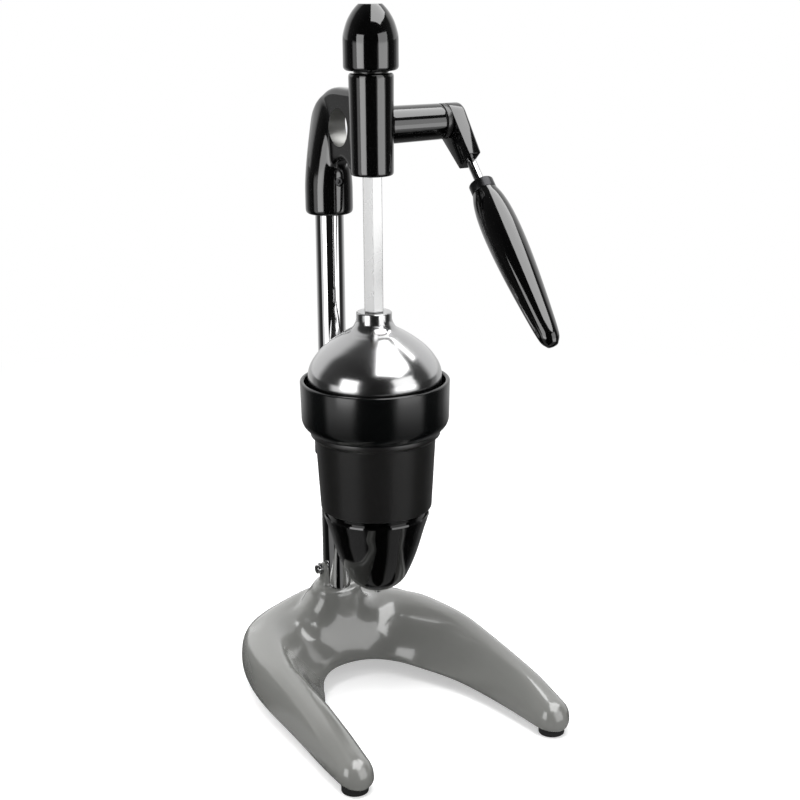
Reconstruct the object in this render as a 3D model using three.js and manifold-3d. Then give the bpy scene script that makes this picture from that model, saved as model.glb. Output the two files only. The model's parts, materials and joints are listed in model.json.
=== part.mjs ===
// Lever citrus juice press: a ram with a dome presses fruit on a reamer when the lever turns a pinion.
// Millimetres, +Z up. The ram's axis stands at x = 0, y = 0 while the pieces are made; front is -Y.
import * as THREE from 'three';
import { mergeVertices } from 'three/addons/utils/BufferGeometryUtils.js';
import Module from 'manifold-3d';

const wasm = await Module();
wasm.setup();

// General values
const GAP = 0.3;
const OVERRUN = 1;
const MERGE_TOLERANCE = 0.001;
const FINE_SEGMENTS = 28;
const PLAIN_SEGMENTS = 20;
const SMALL_SEGMENTS = 12;
const FILLET_STEPS = 2;
const ARC_STEPS = 8;
const FULL_TURN = 2 * Math.PI;

// Base casting: a horseshoe with two legs in front and a socket for the column at the rear
const LEG_SPREAD = 78;
const LEG_REACH = 106.5;
const BASE_REAR = 108;
const RIDGE_HALF_WIDTH = 23;
const WALL_HEIGHT = 60;
const BASE_LIFT = 4.5;
const REAR_LIFT = 10;
const BELLY_HEIGHT = 3.5;
const OUTER_BELLY_RISE = 12;
const BOSS_HEIGHT = 70;
const BOSS_TOP_RADIUS = 13.4;
const bossTiltShare = 0.24;
const BOLT_POCKET_RADIUS = 13;
const BOLT_POCKET_TOP = 24;
const SOCKET_FLOOR = 8;

// Feet
const FOOT_RADIUS = 9.2;
const FOOT_SEAT = 4;
const FOOT_WASHER_RADIUS = 5;
const FOOT_SCREW_RADIUS = 2;
const FOOT_SCREW_HEAD_RADIUS = 3.8;
const FOOT_SCREW_HEAD = 2;
const FOOT_SCREW_RECESS = 1;
const FOOT_SCREW_LENGTH = 12;
const REAR_FOOT_SPREAD = 44;
const REAR_FOOT_BACK = 84;

// Column
const COLUMN_BACK = 62.6;
const COLUMN_RADIUS = 10;
const COLUMN_BOLT_RADIUS = 5;
const COLUMN_BOLT_THREAD = 18;
const COLUMN_BOLT_FLATS = 16;
const COLUMN_BOLT_HEAD = 6;
const COLUMN_WASHER_RADIUS = 11;
const COLUMN_WASHER = 1.6;

// Ears of the base that clamp the column's foot
const EAR_WALL = 2.6;
const EAR_HALF_WIDTH = 5.6;
const EAR_SCREW_HEIGHT = 83;
const EAR_SCREW_RADIUS = 2;
const EAR_SCREW_HEAD_RADIUS = 3.4;
const EAR_SCREW_HEAD = 2.6;
const EAR_WASHER_RADIUS = 4.4;
const EAR_WASHER = 0.8;

// Head casting: boss on the column, elbow and web, ram guide, hub of the lever shaft
const HUB_HEIGHT = 413;
const HUB_RADIUS = 12.9;
const HUB_END_RADIUS = 12.2;
const HUB_END = 58.3;
const HEAD_BOSS_RADIUS = 16.8;
const HEAD_BOSS_BELOW_HUB = 65;
const WAIST_BELOW_HUB = 47;
const WAIST_ABOVE_HUB = 17;
const COLUMN_BELOW_HUB = 17;
const ELBOW_RADIUS = 39;
const ELBOW_ABOVE_HUB = 24;
const WEB_HALF_THICKNESS = 6;
const WEB_ROUNDING = 3;
const WEB_HOLE_RADIUS = 13;
const WEB_HOLE_BACK = 35.9;
const WEB_HOLE_BELOW_HUB = 2.5;
const WEB_RIB = 7;
const WEB_ARCH_BELOW_HUB = 23.5;
const GUIDE_TOP_RADIUS = 15;
const GUIDE_BOTTOM_RADIUS = 14.4;
const GUIDE_ABOVE_HUB = 36;
const GUIDE_BELOW_HUB = 31;
const GUIDE_ROUNDING = 2;
const HEAD_SCREW_BELOW_HUB = 41;
const HEAD_SCREW_RADIUS = 3;
const HEAD_SCREW_SOCKET = 3;

// Ram, rack and pinion
const RAM_FLATS = 12.7;
const RAM_STUD_RADIUS = 4;
const RAM_TOP_STUD = 16;
const MODULE = 1.5;
const PINION_TEETH = 10;
const PRESSURE_ANGLE = Math.PI / 9;
const TOOTH_PLAY = 0.5;
const ROOT_PLAY = 0.45;
const PINION_BACK = 9.75;
const PINION_START = -4;
const PINION_END = 8;
const LEVER_TURN = 4 * Math.PI / 3;
const SHAFT_RADIUS = 6.5;
const SHAFT_BUSH_LENGTH = 14;

// Guide bushes
const BUSH_RADIUS = 10;
const UPPER_BUSH_LENGTH = 14;
const LOWER_BUSH_LENGTH = 12;
const BUSH_FLANGE_RADIUS = 11.6;
const BUSH_FLANGE = 1.2;

// Cap on the ram
const CAP_RADIUS = 18.3;
const CAP_HEIGHT = 42.3;
const CAP_ROUNDING = 3;
const CAP_TIP_RADIUS = 7.8;
const CAP_SOCKET = 10;

// Press dome
const DOME_HEIGHT = 53.5;
const DOME_NECK_RADIUS = 12.2;
const DOME_RADIUS = 45.7;
const DOME_OVER_REAMER = 15.8;
const DOME_WALL = 2.4;
const DOME_NUT_FLATS = 13;
const DOME_NUT = 6;
const domeCrownShare = 0.523;

// Juice cup, strainer and reamer
const CUP_RADIUS = 51.7;
const CUP_FOOT_RADIUS = 51;
const CUP_HEIGHT = 35.2;
const CUP_WALL = 3;
const CUP_STEP_RADIUS = 46;
const CUP_STEP = 206.8;
const CUP_SHOULDER = 5.4;
const CUP_FLOOR = 3;
const CUP_SPIGOT = 6;
const STRAINER_WALL = 1.4;
const STRAINER_HEIGHT = 20;
const STRAINER_SLOT_COUNT = 12;
const STRAINER_SLOT_WIDTH = 3;
const REAMER_RADIUS = 25;
const REAMER_HEIGHT = 40;
const REAMER_RIBS = 10;
const REAMER_RIB_DEPTH = 1.6;

// Bowl holder with its bracket
const FLANGE_RADIUS = 45;
const FLANGE_HEIGHT = 3.4;
const BOWL_TOP_RADIUS = 41.8;
const BOWL_BOTTOM_RADIUS = 38.8;
const BOWL_HEIGHT = 57;
const BOWL_WALL = 2.6;
const BRACKET_BELOW_FLANGE = 3.4;
const BRACKET_HEIGHT = 28;
const BRACKET_WIDTH = 16;
const CLAMP_RADIUS = 14;
const CLAMP_SCREW_RADIUS = 3;
const CLAMP_SCREW_HEAD_RADIUS = 5;
const CLAMP_SCREW_HEAD = 5;

// Drip cone below the bowl
const CONE_RADIUS = 37;
const CONE_BELOW_BOWL = 4.4;
const CONE_HEIGHT = 57.4;
const CONE_WALL = 2.4;
const CONE_NECK_RADIUS = 34.4;
const CONE_FLANGE = 2;
const SPOUT_RADIUS = 2.3;
const SPOUT_WALL = 0.8;
const SPOUT_DROP = 3.6;

// Lever
const ARM_WIDTH = 11.8;
const ARM_END_INSET = 1.6;
const ARM_LENGTH = 34;
const ARM_END_HALF_HEIGHT = 8.6;
const ARM_ROUNDING = 2.6;
const LEVER_REST_ANGLE = 0.236 * Math.PI;
const LEVER_ROD_RADIUS = 3.4;
const LEVER_ROD_SOCKET = 16;
const FERRULE_START = 52.2;
const FERRULE_LENGTH = 7.5;
const FERRULE_RADIUS = 8.6;
const GRIP_LENGTH = 121.2;
const GRIP_RADIUS = 12.9;
const GRIP_BORE_DEPTH = 60;
const THRUST_WASHER = 3.6;
const ARM_SCREW_RADIUS = 2.5;

// Heights that follow from the values above
const COLUMN_TOP = HUB_HEIGHT - COLUMN_BELOW_HUB;
const HEAD_BOSS_BOTTOM = HUB_HEIGHT - HEAD_BOSS_BELOW_HUB;
const HEAD_WAIST_START = HUB_HEIGHT - WAIST_BELOW_HUB;
const HEAD_WAIST_END = HUB_HEIGHT + WAIST_ABOVE_HUB;
const HEAD_SCREW_HEIGHT = HUB_HEIGHT - HEAD_SCREW_BELOW_HUB;
const ELBOW_TOP = HUB_HEIGHT + ELBOW_ABOVE_HUB;
const WEB_HOLE_HEIGHT = HUB_HEIGHT - WEB_HOLE_BELOW_HUB;
const WEB_ARCH_TOP = HUB_HEIGHT - WEB_ARCH_BELOW_HUB;
const GUIDE_TOP = HUB_HEIGHT + GUIDE_ABOVE_HUB;
const GUIDE_BOTTOM = HUB_HEIGHT - GUIDE_BELOW_HUB;
const CUP_RIM = CUP_STEP + CUP_HEIGHT;
const STRAINER_BOTTOM = CUP_STEP + CUP_FLOOR + GAP;
const REAMER_BOTTOM = STRAINER_BOTTOM + STRAINER_WALL + GAP;
const DOME_RIM = REAMER_BOTTOM + REAMER_HEIGHT - DOME_OVER_REAMER;
const DOME_NECK_TOP = DOME_RIM + DOME_HEIGHT;
const DOME_CROWN = DOME_RIM + domeCrownShare * DOME_HEIGHT;
const FLANGE_BOTTOM = CUP_STEP - FLANGE_HEIGHT;
const BOWL_BOTTOM = CUP_STEP - BOWL_HEIGHT;
const BRACKET_TOP = FLANGE_BOTTOM - BRACKET_BELOW_FLANGE;
const BRACKET_BOTTOM = BRACKET_TOP - BRACKET_HEIGHT;
const CONE_TOP = BOWL_BOTTOM - CONE_BELOW_BOWL;
const CONE_BOTTOM = CONE_TOP - CONE_HEIGHT;

// Solids

function solidOf(geometry) {
  const bare = geometry.clone();
  bare.deleteAttribute('normal');
  bare.deleteAttribute('uv');
  const merged = mergeVertices(bare, MERGE_TOLERANCE);
  const points = merged.attributes.position.array;
  const kept = [];
  for (let i = 0; i < merged.index.count; i += 3) {
    const [a, b, c] = merged.index.array.slice(i, i + 3);
    if (a !== b && b !== c && c !== a) kept.push(a, b, c);
  }
  if (volumeOf(points, kept) < 0) kept.reverse();
  const mesh = new wasm.Mesh({
    numProp: 3,
    vertProperties: Float32Array.from(points),
    triVerts: Uint32Array.from(kept),
  });
  return new wasm.Manifold(mesh);
}

function volumeOf(points, triangles) {
  const corner = (i) => new THREE.Vector3().fromArray(points, triangles[i] * 3);
  let sum = 0;
  for (let i = 0; i < triangles.length; i += 3) {
    sum += corner(i).dot(corner(i + 1).cross(corner(i + 2)));
  }
  return sum;
}

function geometryOf(solid) {
  const mesh = solid.getMesh();
  const geometry = new THREE.BufferGeometry();
  const points = [];
  for (let i = 0; i < mesh.vertProperties.length; i += mesh.numProp) {
    points.push(...mesh.vertProperties.slice(i, i + 3));
  }
  geometry.setAttribute('position', new THREE.Float32BufferAttribute(points, 3));
  geometry.setIndex(Array.from(mesh.triVerts));
  geometry.computeVertexNormals();
  return geometry;
}

// Profiles in the half plane (radius, height); a third number rounds the corner by that radius
function rounded(corners, steps = FILLET_STEPS) {
  const points = [];
  corners.forEach(([x, y, radius = 0], i) => {
    const here = new THREE.Vector2(x, y);
    if (radius === 0) {
      points.push(here);
      return;
    }
    const corner = (k) => new THREE.Vector2(...corners[k % corners.length].slice(0, 2));
    const toBefore = corner(i + corners.length - 1).sub(here).normalize();
    const toAfter = corner(i + 1).sub(here).normalize();
    const half = Math.acos(toBefore.dot(toAfter)) / 2;
    const reach = radius / Math.tan(half);
    const start = here.clone().addScaledVector(toBefore, reach);
    const end = here.clone().addScaledVector(toAfter, reach);
    const middle = toBefore.clone().add(toAfter).normalize();
    middle.multiplyScalar(radius / Math.sin(half)).add(here);
    const first = start.clone().sub(middle);
    const last = end.clone().sub(middle);
    const turn = Math.atan2(first.cross(last), first.dot(last));
    for (let k = 0; k <= steps; k += 1) {
      points.push(first.clone().rotateAround(new THREE.Vector2(), turn * k / steps).add(middle));
    }
  });
  return points;
}

function curvePoints(pairs, steps) {
  return new THREE.SplineCurve(pairs.map(([x, y]) => new THREE.Vector2(x, y))).getPoints(steps);
}

// A profile that starts and ends on the axis, turned about Z
function turned(points, segments = FINE_SEGMENTS, reshape = null) {
  const geometry = new THREE.LatheGeometry(points, segments).rotateX(Math.PI / 2);
  const position = geometry.attributes.position;
  for (let i = 0; reshape && i < position.count; i += 1) {
    const point = new THREE.Vector3().fromBufferAttribute(position, i);
    reshape(point);
    position.setXYZ(i, point.x, point.y, point.z);
  }
  return solidOf(geometry);
}

// A closed profile away from the axis, turned about Z
function ringOf(points, segments = FINE_SEGMENTS) {
  return turned([...points, points[0].clone()], segments);
}

function rod(radius, bottom, top, segments = PLAIN_SEGMENTS, topRadius = radius) {
  const height = top - bottom;
  const geometry = new THREE.CylinderGeometry(topRadius, radius, height, segments);
  return solidOf(geometry.rotateX(Math.PI / 2).translate(0, 0, bottom + height / 2));
}

function tube(outer, inner, bottom, top, segments = PLAIN_SEGMENTS) {
  return rod(outer, bottom, top, segments).subtract(rod(inner, bottom - OVERRUN, top + OVERRUN, segments));
}

function block(x0, x1, y0, y1, z0, z1) {
  const geometry = new THREE.BoxGeometry(x1 - x0, y1 - y0, z1 - z0);
  return solidOf(geometry.translate((x0 + x1) / 2, (y0 + y1) / 2, (z0 + z1) / 2));
}

// A hexagonal bar along Z with one flat to the front
function hexBar(flats, bottom, top) {
  const geometry = new THREE.CylinderGeometry(flats / Math.sqrt(3), flats / Math.sqrt(3), top - bottom, 6);
  return solidOf(geometry.rotateY(Math.PI / 6).rotateX(Math.PI / 2).translate(0, 0, (top + bottom) / 2));
}

function extruded(shape, depth, bevel = 0, steps = FILLET_STEPS) {
  const options = {
    depth: depth - 2 * bevel,
    bevelEnabled: bevel > 0,
    bevelSize: bevel,
    bevelThickness: bevel,
    bevelOffset: -bevel,
    bevelSegments: 2,
    curveSegments: steps,
  };
  return new THREE.ExtrudeGeometry(shape, options).translate(0, 0, bevel);
}

// A shape drawn as (y, z), pushed along X from one side to the other
function acrossX(shape, from, to, bevel = 0, steps = FILLET_STEPS) {
  const turn = new THREE.Matrix4().makeBasis(
    new THREE.Vector3(0, 1, 0), new THREE.Vector3(0, 0, 1), new THREE.Vector3(1, 0, 0));
  return solidOf(extruded(shape, to - from, bevel, steps).applyMatrix4(turn).translate(from, 0, 0));
}

function polygon(points) {
  return new THREE.Shape(points.map((point) => (point.isVector2 ? point : new THREE.Vector2(...point))));
}

// Rings of points joined into one closed skin
function skin(rings) {
  const count = rings[0].length;
  const points = rings.flat();
  const faces = [];
  for (let i = 0; i + 1 < rings.length; i += 1) {
    for (let j = 0; j < count; j += 1) {
      const a = i * count + j;
      const b = i * count + (j + 1) % count;
      faces.push(a, b, a + count, b, b + count, a + count);
    }
  }
  const last = (rings.length - 1) * count;
  for (let j = 1; j + 1 < count; j += 1) {
    faces.push(0, j + 1, j, last, last + j, last + j + 1);
  }
  const geometry = new THREE.BufferGeometry().setFromPoints(points);
  geometry.setIndex(faces);
  return solidOf(geometry);
}

const turnToX = (solid) => solid.rotate([0, 90, 0]);
const turnToFront = (solid) => solid.rotate([90, 0, 0]);

// Base casting
// Stations from the middle of the rear wall to a leg's tip, as shares: how far across and forward the
// ridge is, the same for the lower edge inside the arch, then the ridge's half width and its height
const wallStationShares = [
  [0, 0, 0, 0.258, 1, 0.96],
  [0.333, 0.005, 0.141, 0.269, 0.935, 0.87],
  [0.622, 0.073, 0.269, 0.292, 1.04, 0.825],
  [0.788, 0.165, 0.378, 0.329, 0.957, 0.81],
  [0.904, 0.303, 0.474, 0.386, 0.74, 0.79],
  [0.962, 0.41, 0.577, 0.465, 0.578, 0.77],
  [0.977, 0.554, 0.679, 0.569, 0.53, 0.72],
  [0.983, 0.705, 0.75, 0.705, 0.545, 0.65],
  [0.996, 0.862, 0.801, 0.862, 0.56, 0.55],
  [1, 1, 0.833, 1, 0.55, 0.41],
];
const WALL_STEPS = 40;
const SECTION_POINTS = 20;
const TIP_STEPS = 3;
const sectionPowerShare = 0.8;
const flankPowerShare = 1.2;
const tipEndShare = 0.15;

function wallStations() {
  const ridgeBack = BASE_REAR - RIDGE_HALF_WIDTH;
  const length = ridgeBack + LEG_REACH;
  const place = (across, forward, z) => new THREE.Vector3(across * LEG_SPREAD, ridgeBack - forward * length, z);
  const half = wallStationShares.map(([across, forward, edgeAcross, edgeForward, width, height]) => ({
    ridge: place(across, forward, height * WALL_HEIGHT),
    edge: place(edgeAcross, edgeForward, width * RIDGE_HALF_WIDTH),
  }));
  const mirror = ({ x, y, z }) => new THREE.Vector3(-x, y, z);
  const mirrored = half.slice(1).map(({ ridge, edge }) => ({ ridge: mirror(ridge), edge: mirror(edge) }));
  return [...mirrored.reverse(), ...half];
}

// A wall's section: a rounded ridge that bellies outside and runs out in a hollow flank inside
function wallSection(middle, outward, halfWidth, height, lift, flank) {
  const bulge = OUTER_BELLY_RISE * Math.min(halfWidth / RIDGE_HALF_WIDTH, 1) ** 2;
  const ring = [];
  for (let j = 0; j < SECTION_POINTS; j += 1) {
    const angle = FULL_TURN * j / SECTION_POINTS;
    const side = Math.sign(Math.cos(angle)) * Math.abs(Math.cos(angle)) ** sectionPowerShare;
    const rise = Math.sign(Math.sin(angle)) * Math.abs(Math.sin(angle)) ** sectionPowerShare;
    const inner = side < 0 ? flank * (rise > 0 ? (1 - rise) ** flankPowerShare : -side) : 0;
    const reach = halfWidth * side - inner;
    const belly = lift + BELLY_HEIGHT + bulge * Math.max(side, 0);
    const z = belly + (rise > 0 ? height - belly : belly - lift) * rise;
    ring.push(new THREE.Vector3(middle.x + outward.x * reach, middle.y + outward.y * reach, z));
  }
  return ring;
}

function horseshoe() {
  const stations = wallStations();
  const ridges = new THREE.CatmullRomCurve3(stations.map((station) => station.ridge));
  const edges = new THREE.CatmullRomCurve3(stations.map((station) => station.edge));
  const length = BASE_REAR - RIDGE_HALF_WIDTH + LEG_REACH;
  const rings = [];
  const addRing = (share, advance, squeeze) => {
    const ridge = ridges.getPoint(share);
    const edge = edges.getPoint(share);
    const halfWidth = edge.z;
    const outward = ridge.clone().sub(edge).setZ(0);
    const flank = Math.max(outward.length() - halfWidth, 0) * squeeze;
    outward.normalize();
    const along = new THREE.Vector3(outward.y, -outward.x, 0);
    const middle = ridge.clone().addScaledVector(along, advance * halfWidth);
    const lift = BASE_LIFT + (REAR_LIFT - BASE_LIFT) * Math.min((ridge.y + LEG_REACH) / length, 1);
    const top = lift + BELLY_HEIGHT + (ridge.z - lift - BELLY_HEIGHT) * squeeze;
    rings.push(wallSection(middle, outward, halfWidth * squeeze, top, lift, flank));
  };
  for (let k = TIP_STEPS; k > 0; k -= 1) {
    const angle = Math.PI / 2 * (k - tipEndShare) / TIP_STEPS;
    addRing(0, -Math.sin(angle), Math.cos(angle));
  }
  for (let i = 0; i <= WALL_STEPS; i += 1) addRing(i / WALL_STEPS, 0, 1);
  for (let k = 1; k <= TIP_STEPS; k += 1) {
    const angle = Math.PI / 2 * (k - tipEndShare) / TIP_STEPS;
    addRing(1, Math.sin(angle), Math.cos(angle));
  }
  return skin(rings);
}

// The boss flares from its top down into the wall: shares of its height, then of its top radius for how
// far it reaches to the sides and the rear, and how far to the front
const bossFlareShares = [
  [0.21, 2.8, 1.85], [0.4, 2.6, 1.45], [0.6, 2.34, 1.22], [0.75, 1.97, 1.11],
  [0.85, 1.61, 1.06], [0.94, 1.29, 1.02], [1, 1, 1],
];

function columnBoss() {
  const rings = bossFlareShares.map(([height, side, front]) => {
    const ring = [];
    for (let j = 0; j < FINE_SEGMENTS; j += 1) {
      const angle = FULL_TURN * (j + 1 / 2) / FINE_SEGMENTS;
      const forward = Math.max(-Math.sin(angle), 0) ** 2;
      const radius = BOSS_TOP_RADIUS * (side + (front - side) * forward);
      ring.push(new THREE.Vector3(radius * Math.cos(angle), radius * Math.sin(angle), height * BOSS_HEIGHT));
    }
    return ring;
  });
  const slope = Math.atan(bossTiltShare) * 180 / Math.PI;
  const reach = 2 * BASE_REAR;
  const above = block(-reach, reach, -reach, reach, 0, reach).rotate([slope, 0, 0]);
  const raised = skin(rings).translate([0, 0, bossTiltShare * BOSS_TOP_RADIUS]);
  return raised.subtract(above.translate([0, 0, BOSS_HEIGHT])).translate([0, COLUMN_BACK, 0]);
}

function earShape(halfWidth, bottom, top) {
  const shape = new THREE.Shape();
  shape.moveTo(COLUMN_BACK - halfWidth, bottom);
  shape.lineTo(COLUMN_BACK + halfWidth, bottom);
  shape.lineTo(COLUMN_BACK + halfWidth, top);
  shape.absarc(COLUMN_BACK, top, halfWidth, 0, Math.PI);
  return shape;
}

const EAR_FACE = COLUMN_RADIUS + GAP + EAR_WALL;

function baseCasting() {
  const socketBottom = BOLT_POCKET_TOP + SOCKET_FLOOR;
  const ear = earShape(EAR_HALF_WIDTH, BOLT_POCKET_TOP, EAR_SCREW_HEIGHT);
  const ears = acrossX(ear, -EAR_FACE, EAR_FACE, 0, ARC_STEPS);
  let casting = horseshoe().add(columnBoss()).add(ears);
  const socket = rod(COLUMN_RADIUS + GAP, socketBottom, EAR_SCREW_HEIGHT * 2);
  const boltHole = rod(COLUMN_BOLT_RADIUS + GAP, 0, socketBottom + OVERRUN);
  const pocket = rod(BOLT_POCKET_RADIUS, -OVERRUN, BOLT_POCKET_TOP);
  casting = casting.subtract(socket.add(boltHole).add(pocket).translate([0, COLUMN_BACK, 0]));
  const screwHole = turnToX(rod(EAR_SCREW_RADIUS + GAP, -2 * EAR_FACE, 2 * EAR_FACE, SMALL_SEGMENTS));
  casting = casting.subtract(screwHole.translate([0, COLUMN_BACK, EAR_SCREW_HEIGHT]));
  for (const [x, y, seat] of footPlaces()) {
    const under = rod(FOOT_RADIUS + 2 * GAP, -OVERRUN, seat, PLAIN_SEGMENTS);
    const hole = rod(FOOT_SCREW_RADIUS + GAP, 0, seat + FOOT_SCREW_LENGTH, SMALL_SEGMENTS);
    casting = casting.subtract(under.add(hole).translate([x, y, 0]));
  }
  return casting;
}

// Feet: place and the height of the flat that each one carries
function footPlaces() {
  const rearSeat = REAR_LIFT + FOOT_SEAT;
  return [
    [-LEG_SPREAD, -LEG_REACH, BASE_LIFT + FOOT_SEAT],
    [LEG_SPREAD, -LEG_REACH, BASE_LIFT + FOOT_SEAT],
    [-REAR_FOOT_SPREAD, REAR_FOOT_BACK, rearSeat],
    [REAR_FOOT_SPREAD, REAR_FOOT_BACK, rearSeat],
  ];
}

const FOOT_SCREW_POCKET = FOOT_SCREW_HEAD + FOOT_SCREW_RECESS;

function rubberFoot([x, y, seat]) {
  const top = seat - GAP;
  const body = turned(rounded([
    [0, 0], [FOOT_RADIUS - GAP, 0, GAP], [FOOT_RADIUS, top, GAP], [0, top],
  ], 1), SMALL_SEGMENTS * 2);
  const pocket = rod(FOOT_WASHER_RADIUS, -OVERRUN, FOOT_SCREW_POCKET, SMALL_SEGMENTS);
  const hole = rod(FOOT_SCREW_RADIUS + GAP, 0, seat + OVERRUN, SMALL_SEGMENTS);
  return body.subtract(pocket).subtract(hole).translate([x, y, 0]);
}

function footScrew([x, y, seat]) {
  const headTop = FOOT_SCREW_POCKET - GAP;
  const head = rod(FOOT_SCREW_HEAD_RADIUS, headTop - FOOT_SCREW_HEAD, headTop, SMALL_SEGMENTS);
  const shank = rod(FOOT_SCREW_RADIUS, headTop - GAP, seat + FOOT_SCREW_LENGTH - GAP, SMALL_SEGMENTS);
  const slotEnd = FOOT_SCREW_HEAD_RADIUS + GAP;
  const slot = block(-slotEnd, slotEnd, -GAP, GAP, 0, headTop - FOOT_SCREW_HEAD / 2);
  return head.add(shank).subtract(slot).translate([x, y, 0]);
}

// Column with a blind thread in its foot
const COLUMN_FOOT = BOLT_POCKET_TOP + SOCKET_FLOOR + GAP;
const COLUMN_CHAMFER = 1;

function column() {
  const chamfer = COLUMN_CHAMFER;
  const body = turned([
    [0, COLUMN_FOOT], [COLUMN_RADIUS - chamfer, COLUMN_FOOT], [COLUMN_RADIUS, COLUMN_FOOT + chamfer],
    [COLUMN_RADIUS, COLUMN_TOP - chamfer], [COLUMN_RADIUS - chamfer, COLUMN_TOP], [0, COLUMN_TOP],
  ].map(([r, z]) => new THREE.Vector2(r, z)), FINE_SEGMENTS);
  const thread = rod(COLUMN_BOLT_RADIUS + GAP, 0, COLUMN_FOOT + COLUMN_BOLT_THREAD, SMALL_SEGMENTS);
  return body.subtract(thread).translate([0, COLUMN_BACK, 0]);
}

const COLUMN_WASHER_TOP = BOLT_POCKET_TOP - GAP;

function columnWasher() {
  const bottom = COLUMN_WASHER_TOP - COLUMN_WASHER;
  const washer = tube(COLUMN_WASHER_RADIUS, COLUMN_BOLT_RADIUS + GAP, bottom, COLUMN_WASHER_TOP);
  return washer.translate([0, COLUMN_BACK, 0]);
}

function columnBolt() {
  const headTop = COLUMN_WASHER_TOP - COLUMN_WASHER - GAP;
  const head = hexBar(COLUMN_BOLT_FLATS, headTop - COLUMN_BOLT_HEAD, headTop);
  const shank = rod(COLUMN_BOLT_RADIUS, headTop - GAP, COLUMN_FOOT + COLUMN_BOLT_THREAD - GAP, SMALL_SEGMENTS);
  return head.add(shank).translate([0, COLUMN_BACK, 0]);
}

function earWasher(side) {
  const start = EAR_FACE + GAP;
  const washer = tube(EAR_WASHER_RADIUS, EAR_SCREW_RADIUS + GAP, start, start + EAR_WASHER, SMALL_SEGMENTS);
  return turnToX(washer).scale([side, 1, 1]).translate([0, COLUMN_BACK, EAR_SCREW_HEIGHT]);
}

function earScrew(side) {
  const seat = EAR_FACE + 2 * GAP + EAR_WASHER;
  const head = rod(EAR_SCREW_HEAD_RADIUS, seat, seat + EAR_SCREW_HEAD, SMALL_SEGMENTS);
  const shank = rod(EAR_SCREW_RADIUS, COLUMN_RADIUS + GAP, seat + GAP, SMALL_SEGMENTS);
  const socket = hexBar(EAR_SCREW_HEAD_RADIUS, seat + EAR_SCREW_HEAD / 2, seat + 2 * EAR_SCREW_HEAD);
  const screw = head.add(shank).subtract(socket);
  return turnToX(screw).scale([side, 1, 1]).translate([0, COLUMN_BACK, EAR_SCREW_HEIGHT]);
}

// Head casting
const ELBOW_BACK = COLUMN_BACK + HEAD_BOSS_RADIUS;
const WAIST_STEPS = 5;
const SLEEVE_POINTS = 32;
const waistPowerShare = 1.5;

// The round sleeve on the column, which narrows above into the web
function headSleeve() {
  const rings = [];
  const addRing = (z, radius, halfWidth) => {
    const ring = [];
    for (let j = 0; j < SLEEVE_POINTS; j += 1) {
      const angle = FULL_TURN * (j + 1 / 2) / SLEEVE_POINTS;
      ring.push(new THREE.Vector3(halfWidth * Math.cos(angle), COLUMN_BACK + radius * Math.sin(angle), z));
    }
    rings.push(ring);
  };
  const lower = rounded([
    [0, HEAD_BOSS_BOTTOM], [HEAD_BOSS_RADIUS, HEAD_BOSS_BOTTOM, GUIDE_ROUNDING],
    [HEAD_BOSS_RADIUS, HEAD_WAIST_START],
  ]);
  for (const point of lower.slice(1)) addRing(point.y, point.x, point.x);
  for (let i = 1; i <= WAIST_STEPS; i += 1) {
    const share = i / WAIST_STEPS;
    const z = HEAD_WAIST_START + (HEAD_WAIST_END - HEAD_WAIST_START) * share;
    const narrowing = (HEAD_BOSS_RADIUS + GAP - WEB_HALF_THICKNESS) * share ** waistPowerShare;
    addRing(z, HEAD_BOSS_RADIUS, HEAD_BOSS_RADIUS - narrowing);
  }
  return skin(rings);
}

function elbowShape(bottom) {
  const arcHeight = ELBOW_TOP - ELBOW_RADIUS;
  const shape = new THREE.Shape();
  shape.moveTo(0, bottom);
  shape.lineTo(ELBOW_BACK, bottom);
  shape.lineTo(ELBOW_BACK, arcHeight);
  shape.absarc(ELBOW_BACK - ELBOW_RADIUS, arcHeight, ELBOW_RADIUS, 0, Math.PI / 2);
  shape.lineTo(0, ELBOW_TOP);
  return shape;
}

function guideBody() {
  return turned(rounded([
    [0, GUIDE_BOTTOM], [GUIDE_BOTTOM_RADIUS, GUIDE_BOTTOM, GUIDE_ROUNDING],
    [GUIDE_TOP_RADIUS, GUIDE_TOP, GUIDE_ROUNDING], [0, GUIDE_TOP],
  ]));
}

const PITCH_RADIUS = MODULE * PINION_TEETH / 2;
const PINION_TIP_RADIUS = PITCH_RADIUS + MODULE;
const PINION_CAVITY_RADIUS = PINION_TIP_RADIUS + GAP;
const SHAFT_BUSH_RADIUS = PINION_CAVITY_RADIUS - GAP;
const STROKE = PITCH_RADIUS * LEVER_TURN;

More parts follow.
